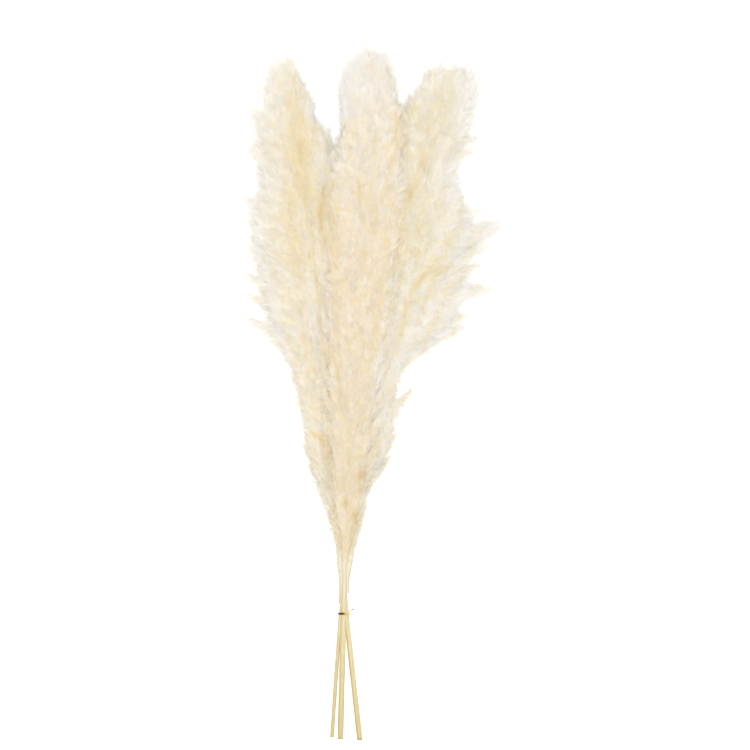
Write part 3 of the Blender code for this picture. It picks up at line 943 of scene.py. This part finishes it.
def add_core(mesh, rng, reed, low, high, middle, spread):
    """A soft sheet inside the hair that closes the plume round its stem."""
    along = np.linspace(low, high, math.ceil((high - low) / CORE_STEP) + 1)
    turns = round(CORE_COLUMNS * BRANCHES_PER_WHORL * spread / math.tau)
    angle = middle + (np.arange(turns + 1) / turns - 0.5) * spread
    place, turn = np.meshgrid(along, angle, indexing="ij")
    narrow = np.interp(place, CORE_FOOT, (CORE_NECK, 1.0))
    rough = np.ones(place.shape)
    for waves, ridges, size in CORE_LUMPS:
        rough += size * np.sin(math.tau * waves * place + ridges * turn + ridges)
    far = reach(reed, place, turn) * rough
    far = np.maximum(far - CORE_DEPTH, far * CORE_LEAST) * narrow
    add_grid(mesh, rng, reed, centre(reed, place) + outward(turn) * far[..., None])


def add_grid(mesh, rng, reed, grid):
    """A soft sheet over a grid of points, which runs up the plume and round from +X to +Z."""
    corners = [grid[:-1, 1:], grid[:-1, :-1], grid[1:, 1:], grid[1:, :-1]]
    middles = np.stack(corners, axis=-2).mean(axis=-2)
    facing = faces_out(rng, reed, middles, CORE_LIFT, CORE_FACING_ROUGH)
    shade = rng.random(middles.shape[:2]) * CORE_SHADE
    mesh.add(STRIP, corners, facing, CORE_ALONG, shade, 0.0)
    add_tufts(mesh, rng, reed, grid)


def fan(reed, points):
    """How far the hair there leans sideways, as a slope to +X."""
    along, shape = points[..., 1], REEDS[reed]
    offset = points[..., 0] - centre(reed, along)[..., 0]
    wide, against = on_side(reed, along, offset)
    facing = np.maximum(0, np.sign(offset) * math.cos(shape["flare_side"]))
    flare = shape["flare"] * flaring(along) * facing
    return np.clip(offset / wide, -1, 1) * (FAN * (1 - FAN_AGAINST * against) + flare)


def add_tufts(mesh, rng, reed, grid):
    """Small pointed tufts of hair all over a soft sheet."""
    corner = grid[:-1, :-1].reshape(-1, 3)
    upward = grid[1:, :-1].reshape(-1, 3) - corner
    aside = grid[:-1, 1:].reshape(-1, 3) - corner
    out = np.cross(upward, aside)
    area = np.linalg.norm(out, axis=1)
    hidden = np.where(out[:, 2] < TUFTS_UNDER * area, TUFTS_BELOW, 1.0)
    counts = (area * hidden / TUFT_AREA + rng.random(len(area))).astype(int)
    pick = np.repeat(np.arange(len(area)), counts)
    n, m = len(pick), TUFT_HAIRS
    seats = corner[pick] + upward[pick] * rng.random((n, 1)) + aside[pick] * rng.random((n, 1))
    flow, out, beside = unit(upward[pick]), unit(out[pick]), unit(aside[pick])
    flow = unit(flow + np.array((1.0, 0.0, 0.0)) * fan(reed, seats)[:, None])
    lean = np.interp(seats[:, 1], TUFT_RISE, TUFT_LEANS) * rng.uniform(*TUFT_LEAN_SHARES, n)
    way = leant(flow, out, lean, beside * rng.normal(0, TUFT_TURN_ROUGH, n)[:, None])
    clump = clumps(seats)
    length = np.interp(seats[:, 1], TUFT_RISE, TUFT_LENGTHS)
    length = length * straight(TUFT_LENGTH_SHARES, rng.random(n) ** 3)
    length *= np.interp(clump, (0, 1), CLUMP_LENGTHS) * (1 + SEAM_LONGER * seam(seats))
    length = np.minimum(length, TUFT_LONGEST)
    spot = rng.normal(0, TUFT_RADIUS, (n, m, 2))
    roots = seats[:, None] + beside[:, None] * spot[..., :1]
    roots = roots + flow[:, None] * spot[..., 1:] * TUFT_STRETCH
    tips = (seats + way * length[:, None])[:, None] + rng.normal(0, TUFT_POINT, (n, m, 3))
    reaches = (tips - roots) * rng.uniform(*TUFT_REACHES, (n, m, 1))
    lengths = np.linalg.norm(reaches, axis=-1)
    way = unit(reaches)
    facing = out + lifted(reed, seats, HAIR_LIFT) + rng.normal(0, HAIR_FACING_ROUGH, (n, 3))
    facing = unit(facing)[:, None]
    flat = unit(np.cross(way, facing + rng.normal(0, TILT, (n, m, 3))))
    half = flat * rng.uniform(*TUFT_HALF_WIDTHS, (n, m, 1)) * TUFT_WIDTH
    half = turn_to(half, way, facing)
    by_clump, by_tuft, by_hair = TUFT_SHADES
    shade = by_clump * (1 - clump)[:, None] + by_tuft * rng.random((n, 1))
    shade = shade + by_hair * rng.random((n, m))
    facing = np.broadcast_to(facing, roots.shape)
    add_fine(mesh, roots, way, lengths, half, facing, shade)


def add_lock_body(mesh, rng, reed, controls, radius):
    """The soft inside of a lock: a flat cone along its middle twig."""
    t = np.linspace(*LOCK_BODY, LOCK_BODY_STEPS)[None]
    points, ways = curve_points(controls[None], t)
    beside = unit(np.cross(ways, np.array((0.0, 0.0, 1.0))))
    over = np.cross(beside, ways)
    share = (1 - (t - LOCK_BODY[0]) / (1 - LOCK_BODY[0])) ** LOCK_BODY_POINT
    share = share * np.interp(t, (LOCK_BODY[0], LOCK_BODY_FROM), (LOCK_BODY_START, 1.0))
    turns = [math.tau * k / LOCK_BODY_SIDES for k in range(LOCK_BODY_SIDES + 1)]
    rings = [beside * math.cos(turn) + over * (math.sin(turn) * LOCK_BODY_FLAT) for turn in turns]
    rings = np.stack(rings, axis=2)[0]
    rough = 1 + rng.normal(0, LOCK_BODY_ROUGH, rings.shape[:2])[..., None]
    size = radius * share[0][:, None, None] * rough
    add_grid(mesh, rng, reed, points[0][:, None] + rings * size)


def make_branch(rng, reed, whorl, branch, material):
    """One branch of a plume: its twigs, and the locks that stick out of it."""
    name = f"{reed}_tip" if whorl == WHORLS else f"{reed}_branch_{whorl + 1}_{'abcd'[branch]}"
    curves, full = branch_twigs(rng, reed, whorl, branch)
    lock_curves, lock_full = lock_twigs(rng, reed, whorl, branch)
    curves = np.concatenate([curves, *lock_curves])
    full = np.concatenate([full, *lock_full])
    mesh = Mesh(reed)
    for lock in lock_curves:
        add_lock_body(mesh, rng, reed, lock[0], LOCK_BODY_RADIUS * (len(lock) - 1))
    add_stalks(mesh, curves)
    add_spikelets(mesh, rng, reed, curves, full)
    add_down(mesh, rng, reed, curves, full)
    tips = REEDS[reed]["whorl_tips"]
    if whorl == WHORLS:
        end = REEDS[reed]["half_widths"][-1][0]
        add_core(mesh, rng, reed, tips[-1], end - CORE_END, 0.0, math.tau)
    else:
        low = CORE_FOOT[0] if whorl == 0 else tips[whorl - 1]
        spread = math.tau / BRANCHES_PER_WHORL
        add_core(mesh, rng, reed, low, tips[whorl], branch_angle(whorl, branch), spread)
    piece = mesh.finish(f"{name}_fluff", material)
    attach(piece, "root")
    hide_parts(name)


# Stems. STEM_WAVES are waves of thickness, (size, radians a metre). CUT_END goes from the sunk
# pith out to the side, (how far along from the cut, share of the radius).
STEM_SIDES = 24
STEM_STEP = 0.006
STEM_RIBS = 9
RIB_DEPTH = 0.035
RIBS_FROM = 0.95
STEM_END = 0.715
AXIS_TIP_RADIUS = 0.0009
AXIS_END_RADIUS = 0.0004
STEM_WAVES = ((0.03, 95), (0.02, 211))
STEM_PHASE = 3.0
PITH_SHARE = 0.72
CUT_END = ((0.0010, PITH_SHARE * 0.9), (0.0, PITH_SHARE), (0.0, 0.90), (0.0003, 0.98))
SIDE_FROM = 0.0006
SHARP_ANGLE = math.radians(40)

# Leaf sheaths in millimetres: (along, across, half width)
SHEATHS = {
    "left": (
        (
            (140.5, 1.2, 3.3), (153, -2, 3.3), (171, -2.4, 3.1), (190, -4, 3.4), (205, -4.6, 4),
            (220, -5.4, 4.6), (240, -7, 5.2),
        ),
        (
            (145.5, -6, 0.3), (156, -4.6, 0.9), (170, -3, 1.2),
        ),
    ),
    "middle": (),
    "right": (
        (
            (160, 2.2, 2.9), (171, 2.6, 2.9), (185, 4.2, 3.2), (197, 6.2, 3.6), (208, 7.2, 3.8),
            (220, 8.6, 4.6), (240, 11, 6),
        ),
    ),
}
SHEATH_STEPS = 24
SHEATH_SIDES = 24
SHEATH_FLAT = 0.8
SHEATH_FOLDS = 7
SHEATH_FOLD = 0.06
SHEATH_PHASE = 1.0


def stem_radius(reed, along):
    """The stem is even up to the tie, then thins, most of all inside the plume."""
    knots = (0.0, TIE_ALONG, PLUME_BASE, TIP_BASE, STEM_END)
    return np.interp(along, knots, (*REEDS[reed]["radii"], AXIS_TIP_RADIUS, AXIS_END_RADIUS))


def tube_mesh(name, tubes, material):
    """Closed tubes through rings of points, each of shape (steps, sides, 3), with flat ends."""
    points, faces = [], []
    for rings in tubes:
        steps, sides = rings.shape[:2]
        start = len(points)
        points += (rings.reshape(-1, 3) - MIDDLE).tolist()
        for step in range(steps - 1):
            for k in range(sides):
                near = start + step * sides + k
                far = start + step * sides + (k + 1) % sides
                faces.append((near, far, far + sides, near + sides))
        faces.append(tuple(start + k for k in range(sides - 1, -1, -1)))
        faces.append(tuple(start + (steps - 1) * sides + k for k in range(sides)))
    data = bpy.data.meshes.new(name)
    data.from_pydata(points, [], faces)
    data.update()
    data.shade_smooth()
    data.set_sharp_from_angle(angle=SHARP_ANGLE)
    data.materials.append(material)
    return add_object(name, data)


def sheath_rings(reed):
    """The pale leaf sheaths that wrap the stem between the tie and the plume."""
    for knots in metres(SHEATHS[reed]):
        along = np.linspace(knots[0][0], knots[-1][0], SHEATH_STEPS)
        middle = centre(reed, along)
        middle[:, 0] = column(knots, 1, along)
        turn = ring_turns(SHEATH_SIDES)
        folds = 1 + SHEATH_FOLD * np.cos(SHEATH_FOLDS * turn + SHEATH_PHASE)
        half = column(knots, 2, along)[:, None] * folds
        offset = outward(-turn) * np.array((1.0, 1.0, SHEATH_FLAT))
        yield middle[:, None] + offset[None] * half[..., None]


def make_stem(reed, material):
    """A ribbed cane with a cut end: a rounded rim round a sunk pith, then the long side."""
    start = REEDS[reed]["line"][0][0]
    cut = np.array(CUT_END)
    side = np.arange(start + SIDE_FROM, STEM_END, STEM_STEP)
    along = np.concatenate([start + cut[:, 0], side])
    share = np.concatenate([cut[:, 1], np.ones(len(side))])
    turn = ring_turns(STEM_SIDES)
    phase = STEM_PHASE * len(reed)
    ribs = 1 + RIB_DEPTH * np.cos(STEM_RIBS * turn + phase)[None] * (share[:, None] > RIBS_FROM)
    wave = 1.0
    for number, (size, waves) in enumerate(STEM_WAVES, 1):
        wave = wave + size * np.sin(along * waves + number * phase)
    radius = (stem_radius(reed, along) * share * wave)[:, None] * ribs
    rings = centre(reed, along)[:, None] + outward(-turn)[None] * radius[..., None]
    rings[..., 2] = np.maximum(rings[..., 2], LEAST_HEIGHT / 2)
    piece = tube_mesh(f"{reed}_stem_cane", [rings, *sheath_rings(reed)], material)
    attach(piece, "root")
    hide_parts(f"{reed}_stem")


# Tie: WIRE_END is where its free end leads from the last turn, as (across, along, height)
WIRE_RADIUS = 0.0005
WIRE_PITCH = 0.0011
WIRE_TURNS = 2
WIRE_STEPS_PER_TURN = 48
WIRE_SIDES = 12
WIRE_LAST_ANGLE = math.radians(60)
WIRE_CLEARANCE = 0.0003
WIRE_END = ((0.0014, 0.0010, -0.0002), (0.0046, 0.0024, 0.0001), (0.0093, 0.0045, 0.0008))
WIRE_END_SHARES = (0.33, 0.67, 1.0)
WIRE_SMOOTHING = 3


def round_stems(angle):
    """The point (across, height) of a loop drawn tight round the three stems at the tie."""
    out = np.array((math.cos(angle), math.sin(angle)))
    best = None
    for reed in REEDS:
        middle = centre(reed, TIE_ALONG)[[0, 2]]
        clear = stem_radius(reed, TIE_ALONG) * (1 + RIB_DEPTH) + WIRE_RADIUS + WIRE_CLEARANCE
        point = middle + out * clear
        if best is None or point @ out > best @ out:
            best = point
    return best


def make_tie(material):
    """Two turns of wire over the top from left to right, and a short end that sticks out."""
    steps = WIRE_TURNS * WIRE_STEPS_PER_TURN
    path = []
    for k in range(steps + 1):
        turn = (k - steps) / WIRE_STEPS_PER_TURN
        across, height = round_stems(WIRE_LAST_ANGLE - math.tau * turn)
        path.append((across, TIE_ALONG + WIRE_PITCH * (turn + WIRE_TURNS / 2), height))
    last = np.array(path[-1])
    for first, second in zip(((0, 0, 0),) + WIRE_END, WIRE_END):
        for share in WIRE_END_SHARES:
            path.append(last + np.array(first) * (1 - share) + np.array(second) * share)
    path = np.array(path)
    for _ in range(WIRE_SMOOTHING):
        path[1:-1] = (path[:-2] + 2 * path[1:-1] + path[2:]) / 4
    ways = unit(np.gradient(path, axis=0))
    ahead = np.array((0.0, 1.0, 0.0))
    first = unit(ahead - ways * (ways @ ahead)[:, None])
    second = np.cross(ways, first)
    turn = ring_turns(WIRE_SIDES)
    aside = np.cos(turn)[None, :, None] * first[:, None]
    rings = path[:, None] + WIRE_RADIUS * (aside + np.sin(turn)[None, :, None] * second[:, None])
    piece = tube_mesh("tie_wire_strand", [rings], material)
    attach(piece, "root")
    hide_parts("tie_wire")


class Nodes:
    """A material's node tree."""

    def __init__(self, name):
        self.material = bpy.data.materials.new(name)
        self.material.use_nodes = True
        self.tree = self.material.node_tree
        self.tree.nodes.clear()

    def feed(self, socket, value):
        """Link the socket to another one, or set it. A colour is three numbers."""
        if isinstance(value, bpy.types.NodeSocket):
            self.tree.links.new(value, socket)
        elif socket.type == "RGBA":
            socket.default_value = (*value, 1)
        else:
            socket.default_value = value

    def add(self, kind, inputs=None, output=0, **values):
        """One output of a new node that has these inputs, by name or number, and values."""
        node = self.tree.nodes.new(kind)
        for name, value in values.items():
            setattr(node, name, value)
        for name, value in (inputs or {}).items():
            self.feed(node.inputs[name], value)
        return node.outputs[output]

    def mix(self, share, first, second):
        """The first colour mixed with the second one by its share."""
        return self.add("ShaderNodeMix", {0: share, 6: first, 7: second}, 2, data_type="RGBA")

    def math(self, operation, first, second):
        return self.add("ShaderNodeMath", {0: first, 1: second}, operation=operation)

    def ramp(self, value, low, high, most):
        """A share that grows from 0 to most while the value goes from low to high."""
        inputs = {"Value": value, "From Min": low, "From Max": high, "To Max": most}
        return self.add("ShaderNodeMapRange", inputs)

    def noise(self, scale, detail, stretch=(1, 1, 1)):
        place = self.add("ShaderNodeTexCoord", output="Object")
        place = self.add("ShaderNodeMapping", {"Vector": place, "Scale": stretch})
        inputs = {"Vector": place, "Scale": scale, "Detail": detail}
        return self.add("ShaderNodeTexNoise", inputs, "Fac")

    def across(self, kind, output, axis):
        """One axis of a vector that a node of this kind gives."""
        vector = self.add(kind, output=output)
        return self.add("ShaderNodeSeparateXYZ", {"Vector": vector}, axis)

    def place(self, axis):
        return self.across("ShaderNodeTexCoord", "Object", axis)

    def shader(self, inputs):
        return self.add("ShaderNodeBsdfPrincipled", inputs)

    def finish(self, shader):
        out = self.tree.nodes.new("ShaderNodeOutputMaterial")
        self.feed(out.inputs["Surface"], shader)
        return self.material


# Root, tip and gold of each plume's hair
CREAMS = {
    "left": ((0.965, 0.908, 0.790), (0.990, 0.962, 0.900), (0.957, 0.846, 0.570)),
    "middle": ((0.970, 0.912, 0.810), (0.992, 0.958, 0.895), (0.962, 0.850, 0.603)),
    "right": ((0.965, 0.918, 0.810), (0.988, 0.966, 0.910), (0.951, 0.857, 0.602)),
}
# The palest and the deepest gold of the warmth channel: the hair's own colour, and painted light on
# shaded rims and gaps and painted shade in creases and seams
PALE = (0.994, 0.978, 0.952)
DEEP_GOLD = (0.850, 0.700, 0.400)
# Patches of gold, from large to fine: (scale, detail) of the noise, (from, to, most) of the ramp
GOLD_PATCHES = (
    ((24, 3), (0.44, 0.70, 0.40)),
    ((95, 2), (0.53, 0.68, 0.78)),
    ((240, 1), (0.49, 0.62, 0.80)),
)
# Ramps, (from, to, most), over the strand's random number, its warmth and the place along it
LIGHT_HAIRS = (0.60, 0.15, 0.70)
GOLD_HAIRS = (0.50, 1.0, 0.80)
PALE_WARMTH = (0.5, 0.0, 1.0)
PALE_ALONG = (-2.0, 0.6, 1.0)
GOLD_WARMTH = (0.5, 0.9, 0.9)
DEEP_GOLD_WARMTH = (0.82, 1.0, 0.9)
HAIR_ROUGHNESS = 0.8
HAIR_GLOSS = 0.2
HAIR_THROUGH = 0.30


def plume_material(name, root, tip, gold):
    """Soft hair: warmer at its root, paler at its tip, golden husks and uneven patches, and the
    painted light and painted shade that the strand's warmth channel carries.
    """
    nodes = Nodes(name)
    strand = nodes.add("ShaderNodeAttribute", output="Color", attribute_name="strand")
    channels = ("Red", "Green", "Blue")
    along, random, warm = (nodes.add("ShaderNodeSeparateColor", {0: strand}, k) for k in channels)
    base = nodes.mix(along, root, tip)
    for noise, ramp in GOLD_PATCHES:
        base = nodes.mix(nodes.ramp(nodes.noise(*noise), *ramp), base, gold)
    base = nodes.mix(nodes.ramp(random, *LIGHT_HAIRS), base, tip)
    base = nodes.mix(nodes.ramp(random, *GOLD_HAIRS), base, gold)
    # Pale and gold by the warmth channel, which carries painted light and painted shade as well as
    # the hair's own colour.
    pale = nodes.ramp(warm, *PALE_WARMTH)
    pale = nodes.math("MULTIPLY", pale, nodes.ramp(along, *PALE_ALONG))
    base = nodes.mix(pale, base, PALE)
    base = nodes.mix(nodes.ramp(warm, *GOLD_WARMTH), base, gold)
    base = nodes.mix(nodes.ramp(warm, *DEEP_GOLD_WARMTH), base, DEEP_GOLD)
    looks = {"Base Color": base, "Roughness": HAIR_ROUGHNESS, "Specular IOR Level": HAIR_GLOSS}
    through = nodes.add("ShaderNodeBsdfTranslucent", {"Color": base})
    both = {0: HAIR_THROUGH, 1: nodes.shader(looks), 2: through}
    return nodes.finish(nodes.add("ShaderNodeMixShader", both))


# The straw's colour, and what is laid over it in turn: (from, to, most) of a ramp, and a colour. The
# entries left and right are painted shade on the flanks of the cane that face -X and +X.
STRAW = (0.78, 0.70, 0.47)
STRAW_OVER = {
    "streaks": ((0.35, 0.72, 1.0), (0.66, 0.54, 0.28)),
    "low": ((-0.250, -0.390, 0.75), (0.57, 0.43, 0.165)),
    "high": ((-0.240, -0.190, 0.8), (0.72, 0.67, 0.53)),
    "left": ((0.1, -1.0, 0.7), (0.58, 0.43, 0.16)),
    "right": ((0.2, 1.0, 0.6), (0.56, 0.54, 0.34)),
    "cut": ((-0.3725, -0.3755, 0.6), (0.36, 0.29, 0.14)),
    "spots": ((0.62, 0.80, 0.5), (0.42, 0.28, 0.12)),
}
# Where along the cane the painted shade on its -X flank lies: towards the cut end
PAINTED_LEFT_SHADE_BELOW = (-0.190, -0.245, 1.0)
STREAK_NOISE = (1.0, 4, (900, 14, 900))
SPOT_NOISE = (1.0, 3, (420, 60, 420))
STRAW_ROUGHNESS = 0.5


def straw_material():
    """Pale cane with fine streaks along it, browner towards its cut end, with painted shade on its
    flanks.
    """
    nodes = Nodes("straw_stem")
    along = nodes.place("Y")
    facing = nodes.across("ShaderNodeNewGeometry", "Normal", "X")
    sources = dict.fromkeys(STRAW_OVER, along)
    # The entries left and right are painted shade, by the way the surface faces along X.
    sources.update(left=facing, right=facing)
    sources.update(streaks=nodes.noise(*STREAK_NOISE), spots=nodes.noise(*SPOT_NOISE))
    base = STRAW
    for part, (ramp, colour) in STRAW_OVER.items():
        share = nodes.ramp(sources[part], *ramp)
        if part == "left":
            share = nodes.math("MULTIPLY", share, nodes.ramp(along, *PAINTED_LEFT_SHADE_BELOW))
        base = nodes.mix(share, base, colour)
    return nodes.finish(nodes.shader({"Base Color": base, "Roughness": STRAW_ROUGHNESS}))


# The wire: ramps over the place across, and over the noise of its grain
DARK_LEFT = (0.0010, -0.0005, 1.0)
DARK_END = (0.0090, 0.0100, 0.9)
GRAIN_NOISE = (900, 2)
GRAIN = (0.3, 0.7, 0.35)
GILT = (0.86, 0.62, 0.22)
GILT_GRAIN = (0.62, 0.40, 0.12)
TARNISH = (0.045, 0.018, 0.008)
WIRE_METAL = 0.9
WIRE_ROUGHNESS = 0.4
WIRE_GLOSS = 0.2


def wire_material():
    """Gilt wire, tarnished dark brown on its left part and at its free end."""
    nodes = Nodes("tie_wire")
    across = nodes.math("ADD", nodes.place("X"), float(MIDDLE[0]))
    left, end = nodes.ramp(across, *DARK_LEFT), nodes.ramp(across, *DARK_END)
    dark = nodes.math("MAXIMUM", left, end)
    grain = nodes.ramp(nodes.noise(*GRAIN_NOISE), *GRAIN)
    tarnished = nodes.math("MULTIPLY", dark, WIRE_METAL)
    return nodes.finish(nodes.shader({
        "Base Color": nodes.mix(dark, nodes.mix(grain, GILT, GILT_GRAIN), TARNISH),
        "Metallic": nodes.math("SUBTRACT", WIRE_METAL, tarnished),
        "Roughness": WIRE_ROUGHNESS,
        "Specular IOR Level": WIRE_GLOSS,
    }))


# The stage. Each lamp is (place, size, energy). The camera sees VIEW_WIDTH at VIEW_PLANE's height.
WHITE = (1.0, 1.0, 1.0)
WORLD_LIGHT = 0.41
FLOOR_SIZE = 12
FLOOR_LOOKS = {
    "Base Color": (0.90, 0.90, 0.90),
    "Roughness": 0.9,
    "Emission Color": WHITE,
    "Emission Strength": 0.25,
}
LAMPS = {
    "front": ((0.0, 0.02, 7.6), 0.8, 398.0),
    "left": ((-2.0, 0.7, 1.1), 1.6, 9.0),
    "right": ((2.0, -0.5, 1.1), 1.6, 9.0),
}
VIEW_WIDTH = 0.81
VIEW_PLANE = 0.04
CAMERA_HEIGHT = 7.04
CAMERA_PLACE = (0.0055, 0.0199)
SENSOR_WIDTH = 36


def add_lamp(name, place, size, energy):
    """A square soft lamp that shines at the bunch's middle."""
    light = bpy.data.lights.new(name, "AREA")
    light.size = size
    light.energy = energy
    lamp = add_object(name, light)
    lamp.location = place
    x, y, z = place
    lamp.rotation_euler = (-math.atan2(y, z), math.atan2(x, math.hypot(y, z)), 0)


def make_stage():
    """A pale floor, white light from all sides, a lamp above, one on each side, and the camera."""
    scene = bpy.context.scene
    scene.view_settings.view_transform = "Standard"
    world = bpy.data.worlds.new("world")
    world.use_nodes = True
    background = world.node_tree.nodes["Background"]
    background.inputs["Color"].default_value = (*WHITE, 1)
    background.inputs["Strength"].default_value = WORLD_LIGHT
    scene.world = world
    bpy.ops.mesh.primitive_plane_add(size=FLOOR_SIZE)
    floor = bpy.context.object
    floor.name = "floor"
    nodes = Nodes("floor")
    floor.data.materials.append(nodes.finish(nodes.shader(FLOOR_LOOKS)))
    floor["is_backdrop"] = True
    for name, lamp in LAMPS.items():
        add_lamp(name, *lamp)
    camera = bpy.data.cameras.new("camera")
    camera.sensor_width = SENSOR_WIDTH
    camera.lens = SENSOR_WIDTH * (CAMERA_HEIGHT - VIEW_PLANE) / VIEW_WIDTH
    scene.camera = add_object("camera", camera)
    scene.camera.location = (*CAMERA_PLACE, CAMERA_HEIGHT)


def main():
    """Make the stage, then every piece of each reed and the tie."""
    make_stage()
    straw = straw_material()
    number = SEED
    for reed in REEDS:
        make_stem(reed, straw)
        material = plume_material(f"{reed}_plume", *CREAMS[reed])
        for whorl in range(WHORLS + 1):
            for branch in range(BRANCHES_PER_WHORL if whorl < WHORLS else 1):
                number += 1
                make_branch(np.random.default_rng(number), reed, whorl, branch, material)
    make_tie(wire_material())


main()
boxes = {"cad": CAD_BOX, "visual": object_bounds()}
{name: [list(corner) for corner in box] for name, box in boxes.items()}
